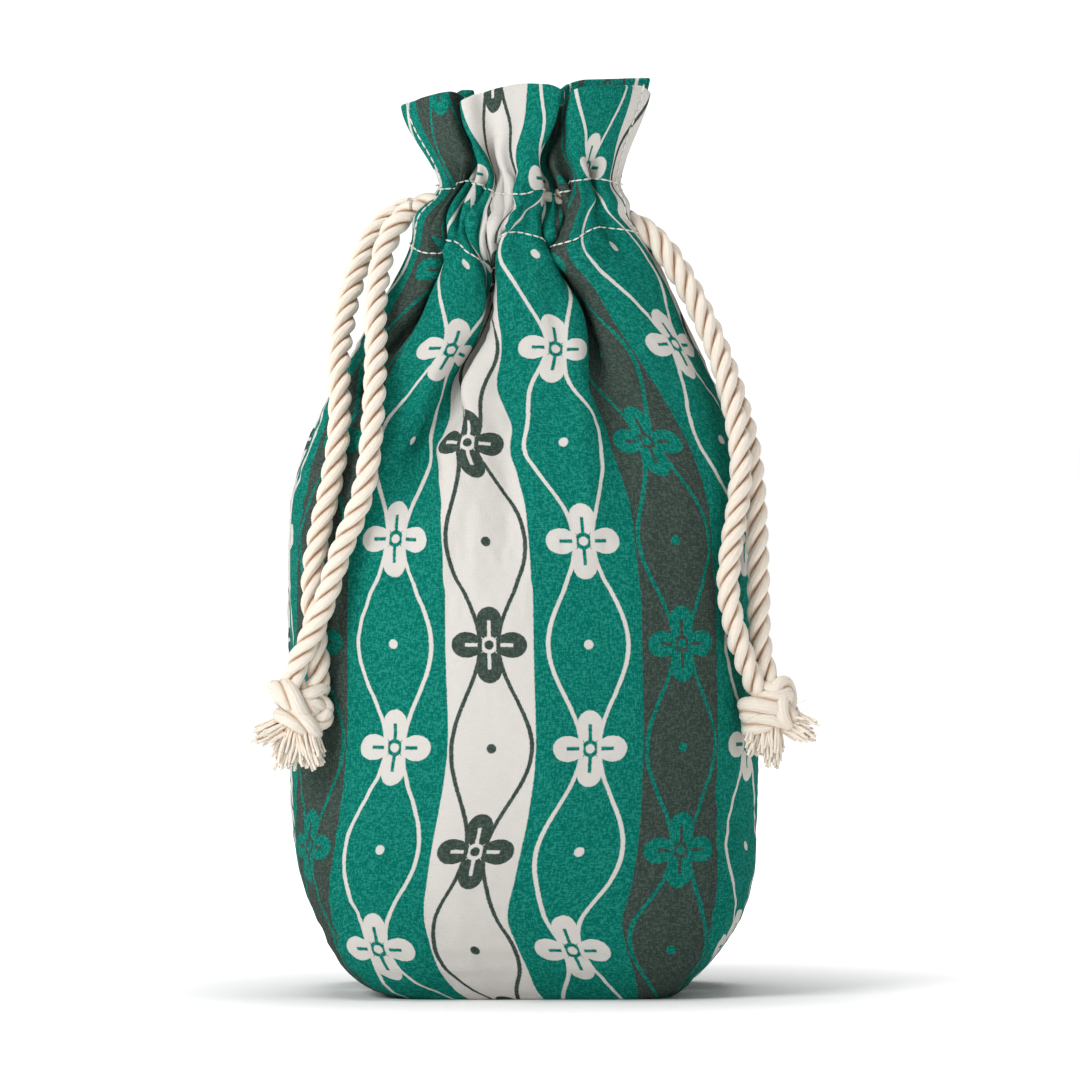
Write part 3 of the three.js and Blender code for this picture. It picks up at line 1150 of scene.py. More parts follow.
@dataclass(frozen=True)
class Cotton:
    """Unbleached cotton yarn: cream, with painted tan shade in its grooves and a little painted shade between
    its yarns, and fine fibres.
    """

    pale: tuple[int, int, int] = (230, 220, 206)
    # the painted shade colour that fills the grooves between the strands
    deep: tuple[int, int, int] = (200, 168, 140)
    # the painted shade colour multiplied in between the yarns
    yarn_gap_shade: tuple[int, int, int] = (190, 165, 140)
    yarn_pitch: float = 1.21
    yarn_slope: float = 0.42
    yarn_height: float = 0.5
    yarn_shade: float = 0.07
    fibre_height: float = 1.4
    bump: float = 0.8
    relief: float = 0.00018

    def material(self, name: str) -> bpy.types.Material:
        """Make the rope's material.

        Args:
            name: the material's name.

        Returns:
            The material.
        """
        constants = {"Roughness": 0.9, "Specular IOR Level": 0.2, "Sheen Weight": 0.25}
        material, tree, shader = new_material(name, constants)
        groove = tree.node("ShaderNodeAttribute", output="Fac", attribute_name="groove")
        uv = tree.node("ShaderNodeUVMap", uv_map="yarn")
        place = tree.stretched(uv, (1000, 1000, 1000))
        drift = tree.cloudy(place, (0.5, 0.12, 1))
        slant = tree.part(place, 0) + tree.part(place, 1) * self.yarn_slope + drift * 1.2
        yarn = tree.math("SINE", slant * (2 * math.pi / self.yarn_pitch)) * 0.5 + 0.5
        fibre = tree.cloudy(place, (4.0, 0.9, 1), 3.0)
        groove_shade_blotches = tree.cloudy(place, (0.8, 0.2, 1))
        # Paint tan shade where the rope lies deepest, in the grooves between strands, broken up by fibre and
        # blotch noise.
        deep = tree.step(groove + (fibre - 0.5) * 0.3 + (groove_shade_blotches - 0.5) * 0.25, 0.6, 0.5)
        toned = tree.blend(deep, self.pale, self.deep)
        # Paint a little shade in the hollows between the yarns of each strand.
        colour = tree.darkened((1 - yarn) * self.yarn_shade, toned, rgba(self.yarn_gap_shade))
        tree.nodes.links.new(colour.socket, shader.inputs["Base Color"])
        tree.emboss(shader, yarn * self.yarn_height + fibre * self.fibre_height, self.bump, self.relief)
        return material


@dataclass(frozen=True)
class Plain:
    """One colour all over."""

    colour: tuple[int, int, int]
    roughness: float = 0.85

    def material(self, name: str) -> bpy.types.Material:
        """Make the material."""
        constants = {"Roughness": self.roughness, "Specular IOR Level": 0.2, "Base Color": rgba(self.colour)}
        return new_material(name, constants)[0]


def smooth_path(route: Points, step: float) -> Points:
    """Run a curve through a route and space points evenly along it.

    Args:
        route: the points to pass, in millimetres.
        step: the spacing.

    Returns:
        The spaced points.
    """
    route = np.asarray(route, dtype=float)
    ends = np.vstack([2 * route[0] - route[1], route, 2 * route[-1] - route[-2]])
    knots = running(np.linalg.norm(np.diff(ends, axis=0), axis=1) ** 0.5)
    pieces = []
    for k in range(1, len(ends) - 2):
        t = np.linspace(knots[k], knots[k + 1], 24, endpoint=False)[:, None]
        near, places = list(ends[k - 1 : k + 3]), knots[k - 1 : k + 3]
        for reach in (1, 2):
            starts, stops = places[:-reach], places[reach:]
            near = [
                (b - t) / (b - a) * p + (t - a) / (b - a) * q
                for a, b, p, q in zip(starts, stops, near[:-1], near[1:])
            ]
        a, b = places[1], places[2]
        pieces.append((b - t) / (b - a) * near[0] + (t - a) / (b - a) * near[1])
    dense = np.vstack([*pieces, route[-1:]])
    arc = lengths(dense)
    return along_line(dense, arc, np.linspace(0, arc[-1], max(int(arc[-1] / step), 2) + 1))


def along_line(line: Points, arc: Points, places: Points) -> Points:
    """Find the points of a line at chosen lengths, from its points and the length at each."""
    return np.stack([np.interp(places, arc, line[:, k]) for k in range(line.shape[1])], axis=1)


def carried_frames(path: Points) -> tuple[Points, Points]:
    """Carry two cross directions along a path without twist.

    Args:
        path: evenly spaced points.

    Returns:
        Two unit vectors at each point, square to the path and to each other.
    """
    ahead = np.gradient(path, axis=0)
    ahead /= np.linalg.norm(ahead, axis=1)[:, None]
    first = np.cross(ahead[0], [0.3, 1.0, 0.2])
    first /= np.linalg.norm(first)
    firsts = [first]
    for t in ahead[1:]:
        first = firsts[-1] - t * float(firsts[-1] @ t)
        firsts.append(first / np.linalg.norm(first))
    firsts = np.array(firsts)
    return firsts, np.cross(ahead, firsts)


@dataclass
class Strands:
    """Rope mesh in the making, in millimetres."""

    points: list[Points] = field(default_factory=list)
    faces: list[tuple[int, ...]] = field(default_factory=list)
    places: list[Points] = field(default_factory=list)
    depths: list[Points] = field(default_factory=list)

    @property
    def count(self) -> int:
        """How many vertices there are so far."""
        return sum(len(p) for p in self.points)

    def add(self, other: "Strands", shift: tuple[float, float]) -> None:
        """Take in other strands.

        Args:
            other: the strands.
            shift: how far their places on the yarn are moved, so that the fibres differ.
        """
        start = self.count
        self.faces += [tuple(start + i for i in face) for face in other.faces]
        self.points += other.points
        self.places += [place + shift for place in other.places]
        self.depths += other.depths

    def build(self, name: str, material: bpy.types.Material) -> bpy.types.Object:
        """Make the strands as one object, with their yarn places and their depth in the rope.

        Args:
            name: its name.
            material: its finish.

        Returns:
            The object.
        """
        obj = make_object(name, np.vstack(self.points) * MM, self.faces)
        set_uv(obj, np.vstack(self.places) * MM, "yarn")
        # The groove value is each point's depth in the rope; the cotton material paints tan shade where it is
        # high.
        groove = obj.data.attributes.new("groove", "FLOAT", "POINT")
        groove.data.foreach_set("value", np.concatenate(self.depths).astype(np.float32))
        obj.data.materials.append(material)
        return obj


@dataclass
class TwistedRope:
    """A rope of three strands laid to the right, along a path.

    Each swell makes the strands a little thicker and thinner along the way: its size, its pace and how far
    it is ahead from strand to strand.
    """

    path: Points
    diameter: float = 7.0
    lay: float = 18.9
    strands: int = 3
    sides: int = 14
    turn: float = 0.0
    closed: bool = False
    merged: float = 0.0
    strand_centre: float = 0.54
    strand_width: float = 0.45
    merged_shift: float = 0.08
    merged_growth: float = 0.125
    swells: tuple[tuple[float, float, float], ...] = ((0.035, 2.3, 2.1), (0.02, 7.1, 1.0))
    # how far into the rope the painted groove shade reaches, as a share of its radius
    groove_depth: float = 0.42
    yarn_shift: float = 37.0

    def mesh(self, first: int, last: int) -> Strands:
        """Skin the strands over a stretch of the path.

        Args:
            first: the stretch's first path point.
            last: its last path point.

        Returns:
            The strands.
        """
        one, two = carried_frames(self.path)
        step = np.linalg.norm(np.diff(self.path[:2], axis=0))
        radius = self.diameter / 2
        centre = radius * (self.strand_centre - self.merged_shift * self.merged)
        across = radius * (self.strand_width + self.merged_growth * self.merged)
        out = radius - centre
        span = np.arange(first, last + 1)
        slip, lay = 0.0, self.lay / (2 * math.pi)
        if self.closed:
            slip = math.atan2(one[-1] @ two[0], one[-1] @ one[0])
            turns = max(round(len(self.path) * step / self.lay), 1)
            lay = len(self.path) * step / (turns * 2 * math.pi)
        around = np.linspace(-math.pi, math.pi, self.sides, endpoint=False)
        result = Strands()
        ahead = np.gradient(self.path, axis=0)
        ahead /= np.linalg.norm(ahead, axis=1)[:, None]
        for strand in range(self.strands):
            result.faces += self.skin(result.count, len(span))
            angle = span * step / lay + 2 * math.pi * strand / self.strands + self.turn
            angle = angle - slip * span / max(len(self.path) - 1, 1)
            radial = np.cos(angle)[:, None] * one[span] + np.sin(angle)[:, None] * two[span]
            side = -np.sin(angle)[:, None] * one[span] + np.cos(angle)[:, None] * two[span]
            lean = centre / lay
            side = side / math.hypot(1, lean) - ahead[span] * lean / math.hypot(1, lean)
            middle = self.path[span] + radial * centre
            run = span * step / self.diameter
            fullness = np.ones(len(span))
            for size, pace, ahead_by in self.swells:
                fullness = fullness + size * np.sin(run * pace + strand * ahead_by)
            ring = (
                middle[:, None]
                + radial[:, None] * (fullness[:, None] * np.cos(around) * out)[:, :, None]
                + side[:, None] * (fullness[:, None] * np.sin(around) * across)[:, :, None]
            )
            result.points.append(ring.reshape(-1, 3))
            # How deep each point lies between the strands, which the cotton material paints as shade.
            reach = np.linalg.norm(ring - self.path[span][:, None], axis=2) / radius
            result.depths.append(np.clip((1.0 - reach) / self.groove_depth, 0, 1).ravel())
            travel = (span * step * math.hypot(1, lean))[:, None] + strand * self.yarn_shift
            place = np.broadcast_arrays(around[None] * (out + across) / 2, travel)
            result.places.append(np.stack(place, axis=2).reshape(-1, 2))
        return result

    def skin(self, start: int, rings: int) -> list[tuple[int, ...]]:
        """List one strand's faces, with a cap at either end or the ends joined.

        Args:
            start: its first vertex.
            rings: how many rings of vertices it has.

        Returns:
            Each face's vertex numbers.
        """
        sides = self.sides
        loops = [[start + r * sides + k for k in range(sides)] for r in range(rings)]
        pairs = list(zip(loops, loops[1:]))
        if self.closed:
            pairs.append((loops[-1], loops[0]))
        faces = [
            (low[k], low[(k + 1) % sides], high[(k + 1) % sides], high[k])
            for low, high in pairs
            for k in range(sides)
        ]
        return faces if self.closed else [*faces, tuple(loops[0][::-1]), tuple(loops[-1])]


@dataclass(frozen=True)
class Tuft:
    """The frayed yarns of one rope end below its knot, in millimetres."""

    root: tuple[float, float, float]
    tip: tuple[float, float, float]
    spread: float
    count: int
    seed: int
    thickness: float = 0.48
    root_spread: float = 2.6


@dataclass(frozen=True)
class Wrap:
    """One turn of rope round a knot, in millimetres and degrees."""

    middle: tuple[float, float, float]
    width: float
    depth: float
    tilt: tuple[float, float, float]
    thickness: float = 5.4

    def ring(self, lift: float, phase: float) -> Points:
        """Lay the turn's middle line round the origin.

        Args:
            lift: how far it waves up and down.
            phase: where that wave starts.

        Returns:
            Its points.
        """
        turn = np.linspace(0, 2 * math.pi, 120, endpoint=False)
        wave = lift * np.sin(2 * turn + phase)
        flat = np.stack([np.cos(turn) * self.width, np.sin(turn) * self.depth, wave], axis=1)
        about_x, about_y, about_z = (
            Matrix.Rotation(math.radians(angle), 3, axis) for angle, axis in zip(self.tilt, "XYZ")
        )
        return flat @ np.array(about_z @ about_y @ about_x).T


@dataclass
class DrawCord:
    """One drawcord: out of one end of the casing, round both casings and back, its two ends in one knot."""

    name: str
    node: str
    knot_node: str
    route: tuple[tuple[float, float, float], ...]
    mouths: tuple[int, int]
    knot: tuple[float, float, float]
    wraps: tuple[Wrap, ...]
    tufts: tuple[Tuft, ...]
    step: float = 0.8
    diameter: float = 7.0
    seen_share: float = 0.96
    turn_step: float = 0.55
    turn_lift: float = 0.45
    turn_lay: float = 5.0
    turn_merged: float = 0.8

    def path(self) -> Points:
        """Lay the whole rope, from inside the knot round and back into it.

        Returns:
            Evenly spaced points, in millimetres.
        """
        knot, route = np.array(self.knot), np.array(self.route)
        first, last = (knot + (end - knot) * (0.1, 0.1, 0.2) for end in (route[0], route[-1]))
        return smooth_path(np.vstack([first, route, last]), self.step)

    def build(self, rope: bpy.types.Material, knot: bpy.types.Material, yarns: bpy.types.NodeTree) -> None:
        """Args:
            rope: the rope's finish.
            knot: the knot's finish.
            yarns: the tuft's node tree.
        """
        path = self.path()
        twisted = TwistedRope(path, self.diameter * self.seen_share)
        mouths = [np.linalg.norm(path - np.array(self.route[m]), axis=1) for m in self.mouths]
        out, back = (int(np.argmin(away)) for away in mouths)
        stretches = {"near": (0, out), "run": (out - 1, back + 1), "far": (back, len(path) - 1)}
        pieces = [self.make_knot(knot)]
        pieces += [self.make_tuft(k, tuft, knot, yarns) for k, tuft in enumerate(self.tufts)]
        for piece in pieces:
            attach(piece, "root")
            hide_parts(self.knot_node)
        for key, (first, last) in stretches.items():
            obj = twisted.mesh(first, last).build(f"{self.name}_{key}", rope)
            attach(obj, "root")
            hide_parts(self.node)
            if key == "run":
                continue
            line = path[first : last + 1]
            line = line if key == "far" else line[::-1]
            tuple(line[0] * MM)
            self.diameter * MM
            [tuple(p) for p in line * MM]

    def make_knot(self, material: bpy.types.Material) -> bpy.types.Object:
        """Wind the knot's turns as one object.

        Args:
            material: its finish.

        Returns:
            The object.
        """
        turns = Strands()
        for k, wrap in enumerate(self.wraps):
            ring = wrap.ring(self.turn_lift, phase=1.7 * k) + np.array(self.knot) + np.array(wrap.middle)
            closed = np.vstack([ring, ring[:1]])
            arc = lengths(closed)
            count = max(int(arc[-1] / self.turn_step), 24)
            ring = along_line(closed, arc, np.linspace(0, arc[-1], count, endpoint=False))
            lay = wrap.thickness * self.turn_lay
            rope = TwistedRope(ring, wrap.thickness, lay, turn=k * 1.3, closed=True, merged=self.turn_merged)
            turns.add(rope.mesh(0, len(ring) - 1), (0, 11.0 * k))
        return turns.build(self.knot_node + "_turns", material)

    def make_tuft(
        self, number: int, tuft: Tuft, material: bpy.types.Material, tree: bpy.types.NodeTree
    ) -> bpy.types.Object:
        """Grow one tuft of frayed yarns.

        Args:
            number: which tuft it is.
            tuft: its sizes.
            material: its finish.
            tree: the tuft's node tree.

        Returns:
            The object.
        """
        obj = make_object(f"{self.name}_tuft_{number + 1}", np.zeros((1, 3)), [])
        values = {
            "Root": Vector(tuft.root) * MM,
            "Tip": Vector(tuft.tip) * MM,
            "Count": tuft.count,
            "Root Spread": tuft.root_spread * MM,
            "Tip Spread": tuft.spread * MM,
            "Seed": tuft.seed,
            "Thickness": tuft.thickness * MM,
            "Material": material,
        }
        run_nodes(obj, tree, values)
        return obj


def run_nodes(obj: bpy.types.Object, tree: bpy.types.NodeTree, values: dict[str, object]) -> None:
    """Evaluate a node tree on an object and keep the plain mesh.

    Args:
        obj: the object.
        tree: the geometry node tree.
        values: its inputs, by name.
    """
    modifier = obj.modifiers.new("nodes", "NODES")
    modifier.node_group = tree
    for item in tree.interface.items_tree:
        if item.item_type == "SOCKET" and item.in_out == "INPUT" and item.name in values:
            modifier[item.identifier] = values[item.name]
    settle(obj)
    obj.data.shade_smooth()


def geometry_tree(name: str, inputs: dict[str, str]) -> tuple[Tree, dict[str, Value]]:
    """Start a geometry node tree.

    Args:
        name: its name.
        inputs: the kind of each named input.

    Returns:
        The tree, and its inputs by name, the geometry under an empty name.
    """
    group = bpy.data.node_groups.new(name, "GeometryNodeTree")
    group.interface.new_socket("Geometry", in_out="INPUT", socket_type="NodeSocketGeometry")
    for key, kind in inputs.items():
        group.interface.new_socket(key, in_out="INPUT", socket_type=f"NodeSocket{kind}")
    group.interface.new_socket("Geometry", in_out="OUTPUT", socket_type="NodeSocketGeometry")
    tree = Tree(group)
    source = group.nodes.new("NodeGroupInput")
    return tree, {"": Value(tree, source.outputs[0])} | {k: Value(tree, source.outputs[k]) for k in inputs}


def end_tree(tree: Tree, geometry: Value, material: Value) -> bpy.types.NodeTree:
    """Close a geometry node tree with real geometry in its own material.

    Args:
        tree: the tree.
        geometry: what it makes.
        material: the material's socket.

    Returns:
        The finished node tree.
    """
    real = tree.node("GeometryNodeRealizeInstances", {0: geometry})
    painted = tree.node("GeometryNodeSetMaterial", {"Geometry": real, "Material": material})
    sink = tree.nodes.nodes.new("NodeGroupOutput")
    tree.nodes.links.new(painted.socket, sink.inputs[0])
    return tree.nodes


def tuft_tree() -> bpy.types.NodeTree:
    """Write the tree that grows a tuft: yarns from a root disc to a wider tip, each bent its own way.

    Returns:
        The geometry node tree.
    """
    kinds = {"Root": "Vector", "Tip": "Vector", "Count": "Int", "Root Spread": "Float", "Tip Spread": "Float",
             "Seed": "Int", "Thickness": "Float", "Material": "Material"}
    tree, given = geometry_tree("tuft of yarns", kinds)
    points = tree.node("GeometryNodePoints", {"Count": given["Count"]})
    line = tree.node("GeometryNodeCurvePrimitiveLine")
    line = tree.node("GeometryNodeResampleCurve", {"Curve": line, "Count": 14})
    lines = tree.node("GeometryNodeInstanceOnPoints", {"Points": points, "Instance": line})
    for key, salt in (("heading", 0), ("bend", 31)):
        limits = {0: (-1, -1, -1), 1: (1, 1, 1), "Seed": given["Seed"] + salt}
        draw = tree.node("FunctionNodeRandomValue", limits, data_type="FLOAT_VECTOR")
        lines = tree.node("GeometryNodeStoreNamedAttribute", {"Geometry": lines, "Name": key, "Value": draw},
                          data_type="FLOAT_VECTOR", domain="INSTANCE")
    lines = tree.node("GeometryNodeRealizeInstances", {0: lines})
    heading = tree.node("GeometryNodeInputNamedAttribute", {"Name": "heading"}, data_type="FLOAT_VECTOR")
    bend = tree.node("GeometryNodeInputNamedAttribute", {"Name": "bend"}, data_type="FLOAT_VECTOR")
    share = tree.node("GeometryNodeSplineParameter")
    reach = share * (1 - 0.1 * abs(tree.part(bend, 2)))
    root = tree.vector("ADD", given["Root"], scaled(tree, heading, given["Root Spread"]))
    tip = tree.vector("ADD", given["Tip"], scaled(tree, heading, given["Tip Spread"]))
    tip = tree.vector("ADD", tip, scaled(tree, bend, given["Tip Spread"] * 0.3))
    way = tree.node("ShaderNodeMix", {0: reach, 4: root, 5: tip}, 1, data_type="VECTOR")
    near = tree.vector("ADD", scaled(tree, bend, 0.5), scaled(tree, way, 190.0))
    cloud = tree.node("ShaderNodeTexNoise", {"Vector": near, "Scale": 1.0, "Detail": 1.0}, "Color")
    cloud = tree.vector("SUBTRACT", cloud, (0.5, 0.5, 0.5))
    way = tree.vector("ADD", way, scaled(tree, cloud, share * given["Tip Spread"] * 0.7))
    lines = tree.node("GeometryNodeSetPosition", {"Geometry": lines, "Position": way})
    # Paint shade on each yarn towards its root, under the knot, through the groove value that the cotton
    # material darkens.
    stored = {"Geometry": lines, "Name": "groove", "Value": (1 - share) ** 1.4 * 0.85}
    lines = tree.node("GeometryNodeStoreNamedAttribute", stored, data_type="FLOAT", domain="POINT")
    taper = given["Thickness"] * (1 - 0.2 * share)
    ring = tree.node("GeometryNodeCurvePrimitiveCircle", {"Resolution": 6, "Radius": 1.0})
    skin = {"Curve": lines, "Profile Curve": ring, "Scale": taper, "Fill Caps": True}
    yarns = tree.node("GeometryNodeCurveToMesh", skin)
    return end_tree(tree, yarns, given["Material"])


def scaled(tree: Tree, vector: Value, factor: "Value | float") -> Value:
    """Scale a vector."""
    return tree.node("ShaderNodeVectorMath", {0: vector, 3: factor}, operation="SCALE")


def stitch_tree() -> bpy.types.NodeTree:
    """Write the tree that sews along a line: one short rounded stitch at every step.

    Returns:
        The geometry node tree.
    """
    kinds = {"Pitch": "Float", "Length": "Float", "Thickness": "Float", "Material": "Material"}
    tree, given = geometry_tree("row of stitches", kinds)
    curve = tree.node("GeometryNodeMeshToCurve", {0: given[""]})
    curve = tree.node("GeometryNodeResampleCurve", {"Curve": curve, "Length": given["Pitch"]}, mode="LENGTH")
    tangent = tree.node("GeometryNodeInputTangent")
    turn = tree.node("FunctionNodeAlignRotationToVector", {"Vector": tangent}, axis="X")
    bead = tree.node("GeometryNodeMeshUVSphere", {"Segments": 8, "Rings": 6, "Radius": 0.5})
    thick = given["Thickness"]
    size = tree.node("ShaderNodeCombineXYZ", {0: given["Length"], 1: thick, 2: thick})
    placed = {"Points": curve, "Instance": bead, "Rotation": turn, "Scale": size}
    row = tree.node("GeometryNodeInstanceOnPoints", placed)
    return end_tree(tree, row, given["Material"])


@dataclass
class Studio:
    """The camera, the soft lights and the pale floor of a product photograph."""

    distance: float = 3.0
    elevation: float = 1.5
    aim: tuple[float, float, float] = (0.00453, 0.0, 0.1274)
    frame: float = 0.3055
    sensor: float = 36.0
    surround: float = 0.27
    seen_white: float = 0.9
    floor_half: float = 9.0
    floor_drop: float = 0.0002
    shadow_edge: float = 0.15
    shadow_blur: float = 0.18

    def build(self) -> None:
        """Set up the camera, the lights, the floor and the white surroundings."""
        scene = bpy.context.scene
        for obj in list(bpy.data.objects):
            if obj.type in {"CAMERA", "LIGHT"} or obj.name == "Cube":
                bpy.data.objects.remove(obj, do_unlink=True)
        camera = bpy.data.objects.new("camera", bpy.data.cameras.new("camera"))
        rise = math.radians(self.elevation)
        camera.location = Vector(self.aim) + Vector((0, -math.cos(rise), math.sin(rise))) * self.distance
        camera.rotation_euler = (math.radians(90) - rise, 0, 0)
        camera.data.lens = self.sensor * self.distance / self.frame
        scene.collection.objects.link(camera)
        scene.camera = camera
        self.light("key", (-1.15, -1.05, 0.95), size=0.8, power=20)
        self.light("fill", (1.25, -1.1, 0.6), size=1.0, power=1.8)
        self.light("top", (0.0, 0.1, 1.6), size=1.0, power=13)
        corners = [(x * self.floor_half, y * self.floor_half, -self.floor_drop)
                   for x, y in ((-1, -1), (1, -1), (1, 1), (-1, 1))]
        floor = make_object("floor", np.array(corners), [(0, 1, 2, 3)])
        floor.data.materials.append(self.floor_material())
        world = bpy.data.worlds.new("soft white surroundings")
        scene.world = world
        world.use_nodes = True
        tree = Tree(world.node_tree)
        back = world.node_tree.nodes["Background"]
        seen = tree.node("ShaderNodeLightPath", output="Is Camera Ray")
        strength = self.surround + seen * self.seen_white
        tree.nodes.links.new(strength.socket, back.inputs["Strength"])
        back.inputs["Color"].default_value = (1, 1, 1, 1)
        scene.view_settings.view_transform = "Standard"

    def floor_material(self) -> bpy.types.Material:
        """Make the floor's material: white, and glowing a little beyond the pouch's shadow.

        Returns:
            The material.
        """
        material, tree, shader = new_material("pale floor", {"Roughness": 0.9, "Specular IOR Level": 0.1})
        shader.inputs["Base Color"].default_value = (0.96, 0.96, 0.96, 1)
        place = tree.node("ShaderNodeTexCoord", output="Object")
        away = tree.vector("LENGTH", place, output="Value")
        glow = tree.step(away, self.shadow_edge, self.shadow_blur)
        inputs = {0: glow, 6: (0, 0, 0, 1), 7: (0.75, 0.75, 0.75, 1)}
        white = tree.node("ShaderNodeMix", inputs, 2, data_type="RGBA")
        tree.nodes.links.new(white.socket, shader.inputs["Emission Color"])
        shader.inputs["Emission Strength"].default_value = 1.0
        return material

    def light(self, name: str, place: tuple[float, float, float], size: float, power: float) -> None:
        """Hang one square soft light that faces the pouch.

        Args:
            name: its name.
            place: where it hangs.
            size: its side.
            power: in watts.
        """
        lamp = bpy.data.lights.new(name, "AREA")
        lamp.size = size
        lamp.energy = power
        obj = bpy.data.objects.new(name, lamp)
        bpy.context.scene.collection.objects.link(obj)
        obj.location = place
        obj.rotation_euler = (Vector(self.aim) - Vector(place)).to_track_quat("-Z", "Y").to_euler()


def panels() -> tuple[ClothPanel, ClothPanel]:
    """Set up the two panels on one envelope, with their seams, slits and rims.

    Returns:
        The front panel and the back panel.
    """
    envelope = Envelope()
    slack = ((0, 0), (60, 6), (190, 7), (206, 4), (210.5, 3))
    tight = ((0, 0), (60, 5), (190, 4), (206, 0), (210.5, -2))
    slit = ((214, 9), (222, 11), (227, 8), (230, 5), (257, 6))
    slit_end = ((214, -10), (222, -11), (227, -8), (230, -5), (257, -6))
    front_rise = Profile(
        ((-93, -5.2), (-78, -3), (-66, -1.6), (-60, -2), (-48, -3.5), (-30, -4.2), (-22, -2.4), (-12, -0.4),
         (-4, 0.6), (4, 0.4), (10, -1), (22, -3.4), (33, -5), (44, -4), (56, -1.2), (66, 0.2), (88, 0.2),
         (93, -1.5))
    )
    back_rise = Profile(
        ((-93, 2.6), (-62, 2.4), (-50, 0.4), (-20, -1.6), (0, -0.8), (20, -2), (50, -0.8), (66, -2.6),
         (80, -4), (93, -5))
    )
    lower = Profile(
        ((-93, 1.5), (-78, -1.5), (-52, 2.4), (-46, 1.5), (-38, -3), (-19, -6), (-4, 1), (4, 5), (14, 3.4),
         (33, -2), (50, 1), (66, 6.4), (80, 5.4), (93, 4))
    )
    upper = Profile(
        ((-93, -2.5), (-78, -2), (-60, 0), (-44, -0.5), (-20, -3.5), (0, -4), (6, -2.5), (14, -3), (33, -4),
         (52, 0), (70, 0.6), (93, -1))
    )
    sway = Profile(
        ((0, 6), (5, 4.5), (14, -0.6), (24, -4.4), (34, -3), (52, -0.8), (75, 1.0), (100, 0.4), (130, 0),
         (257, 0))
    )
    front = ClothPanel(
        Side.FRONT, FRONT_FOLDS, envelope, Profile(slack + slit), Profile(tight + slit_end), lower, upper,
        front_rise, sway,
    )
    back = ClothPanel(
        Side.BACK, BACK_FOLDS, envelope, Profile(tight + slit), Profile(slack + slit_end), upper, upper,
        back_rise, sway,
    )
    return front, back


LEFT_ROUTE = (
    (-64.2, -37.4, 90.4), (-62.2, -38.6, 95.9), (-58.9, -39.3, 102.8), (-55.8, -39.4, 110.4),
    (-53.6, -39.4, 117.4), (-50.7, -39.6, 126.2), (-46.9, -40.3, 135.6), (-44, -41, 145.4),
    (-42.5, -39.5, 157), (-41.7, -35.2, 169.4), (-41.3, -27.2, 181.2), (-41.6, -19.6, 192.4),
    (-40.6, -13, 202.8), (-38.6, -8.2, 211.4), (-35.2, -5.9, 217.6), (-30.4, -5.2, 220.9),
    (-24.6, -6.5, 222.4), (-17.6, -8.2, 223.3), (-10, -8.6, 223.3), (0, -8.6, 223.3), (10, -8.6, 223.3),
    (18, -7.6, 223.3), (22.6, -5, 223.3), (24.4, 0, 223.3), (22.6, 5, 223.3), (18, 7.6, 223.3),
    (10, 8.6, 223.3), (0, 8.6, 223.3), (-10, 8.6, 223.3), (-17.6, 8.2, 223.3), (-24.6, 6.7, 222.7),
    (-31.2, 4.5, 221.4), (-37.4, 3.6, 219), (-42.4, 1.8, 213.8), (-46, -1.4, 206.2), (-48.8, -5.8, 198),
    (-51, -13.2, 187), (-52, -20.6, 177), (-51.6, -26.8, 167), (-52, -31.4, 156.4), (-53.8, -33.6, 145),
    (-56.8, -33.4, 132), (-58.8, -32.7, 121), (-59.2, -32.4, 111.4), (-58.4, -32.8, 102),
    (-57.5, -34.4, 94.6), (-57.7, -35.2, 88.2),
)

RIGHT_ROUTE = (
    (65, -28.4, 87.5), (62, -30.6, 94.5), (59, -33.4, 104), (57.2, -34.8, 114), (57.9, -33.6, 125),
    (59.8, -30.6, 137), (60.9, -27.6, 148.5), (59.8, -23.5, 160), (57.6, -19.2, 170.4),
    (54.6, -14.6, 180.5), (50.4, -10.8, 190.4), (45.6, -8.2, 199.7), (40.8, -6.8, 207.2),
    (36.9, -5.4, 212.6), (33, -4.4, 215.9), (28.6, -4.6, 217.8), (23.6, -7.2, 217.4), (17.2, -8.2, 216.4),
    (10, -8.6, 215.9), (0, -8.6, 215.9), (-10, -8.6, 215.9), (-18, -7.6, 215.9), (-22.6, -5, 215.9),
    (-24.4, 0, 215.9), (-22.6, 5, 215.9), (-18, 7.6, 215.9), (-10, 8.6, 215.9), (0, 8.6, 215.9),
    (10, 8.6, 215.9), (17.2, 8.2, 215.9), (24, 7.2, 215.9), (31, 4.3, 216.4), (38, 3, 211.9),
    (44.2, 0.8, 203.6), (50, -2.4, 192.6), (55.4, -6.4, 180.5), (59.8, -11.4, 168), (63.2, -17.4, 155),
    (64.8, -22, 141.6), (65.4, -24.4, 128.5), (65.8, -25.8, 115), (66, -26.4, 103), (67, -26.6, 94),
    (68.8, -26.4, 87.5),
)


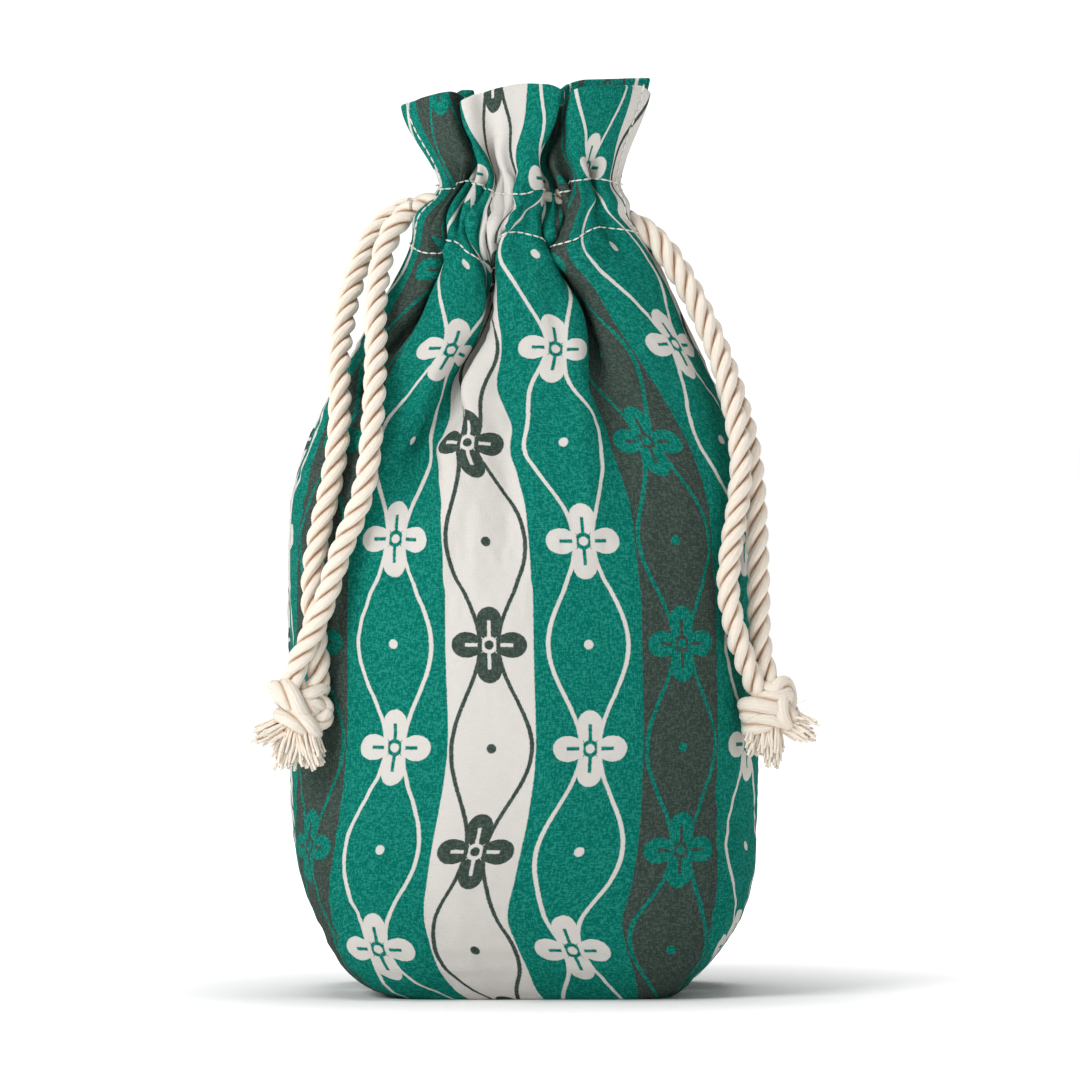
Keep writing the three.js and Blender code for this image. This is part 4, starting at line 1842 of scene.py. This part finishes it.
def draw_cords() -> tuple[DrawCord, DrawCord]:
    """Set up the two drawcords, which leave the casing at opposite ends.

    Returns:
        The left drawcord and the right one.
    """
    left = DrawCord(
        "left_rope", "drawcord_left", "knot_left", LEFT_ROUTE, (15, 31), (-62.4, -35.2, 81.2),
        wraps=(
            Wrap((-1.6, -0.4, 2.4), 4.9, 3.2, (0, 36, 0), 8.0),
            Wrap((1.6, 1.2, 3.2), 4.2, 3.0, (0, -30, 0), 6.8),
            Wrap((4.4, -1.2, -1.0), 2.7, 2.6, (90, 0, 16), 5.6),
            Wrap((-0.2, -0.4, -3.6), 4.4, 3.0, (0, 20, 0), 7.0),
        ),
        tufts=(
            Tuft((-65.6, -35.4, 77.0), (-73.4, -36.0, 73.2), 2.7, 64, 3),
            Tuft((-64.2, -35.8, 75.8), (-67.0, -36.6, 66.4), 3.2, 70, 8),
            Tuft((-61.4, -36.0, 75.6), (-59.0, -37.2, 66.6), 3.0, 70, 14),
        ),
    )
    right = DrawCord(
        "right_rope", "drawcord_right", "knot_right", RIGHT_ROUTE, (15, 31), (69, -26.4, 81.2),
        wraps=(
            Wrap((-1.2, -0.8, 1.0), 5.0, 3.2, (0, -20, 0), 7.8),
            Wrap((4.0, -0.8, 1.0), 4.6, 3.0, (0, 76, -22), 7.0),
            Wrap((0.6, 1.0, 4.2), 3.8, 3.0, (0, 18, 0), 6.6),
            Wrap((-1.0, -0.2, -4.0), 4.2, 3.0, (0, -16, 0), 6.6),
        ),
        tufts=(
            Tuft((66.6, -27.0, 76.0), (64.6, -28.6, 69.8), 2.6, 60, 5),
            Tuft((69.4, -27.2, 75.6), (69.8, -29.2, 66.8), 2.8, 70, 9),
            Tuft((73.0, -26.8, 77.8), (79.6, -27.6, 74.6), 3.1, 76, 12),
            Tuft((73.0, -26.8, 79.0), (84.6, -27.4, 84.4), 0.7, 2, 16, 0.09),
        ),
    )
    return left, right


def main() -> None:
    """Build the pouch in order: studio, ropes, cloth, stitches."""
    logging.basicConfig(level=logging.INFO, format="%(message)s")
    Studio().build()
    rope, knots = Cotton().material("cotton rope"), Cotton(relief=0.00026).material("rope knots")
    yarns = tuft_tree()
    for cord in draw_cords():
        cord.build(rope, knots, yarns)
    thread = Plain((214, 210, 202)).material("white thread")
    sewing = {"Pitch": 2.4 * MM, "Length": 2.3 * MM, "Thickness": 0.5 * MM, "Material": thread}
    stitches = stitch_tree()
    for panel, name in zip(panels(), ("front", "back")):
        grid = panel.grid()
        grid = Settling().moved(grid, panel.floor_rows, panel.body_rows - 1)
        for dents in CREASES:
            grid = dents.pressed(panel, grid)
        cloth = panel.build(f"{name}_cloth", PrintedCanvas().material(f"{name} canvas"), grid)
        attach(cloth, "root")
        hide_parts(f"{name}_panel")
        panel.width * MM
        panel.flat_length * MM
        triangles = len(cloth.data.polygons) * 2
        LOG.info("%s: %d triangles, cut %.0f mm long", cloth.name, triangles, panel.flat_length)
        for key, line in panel.seams(grid).items():
            edges = [(k, k + 1) for k in range(len(line) - 1)]
            row = make_object(f"{name}_{key}_stitches", line * MM, [], edges)
            run_nodes(row, stitches, sewing)
            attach(row, "root")
            LOG.info("%s: %d faces", row.name, len(row.data.polygons))


if __name__ == "__main__":
    main()
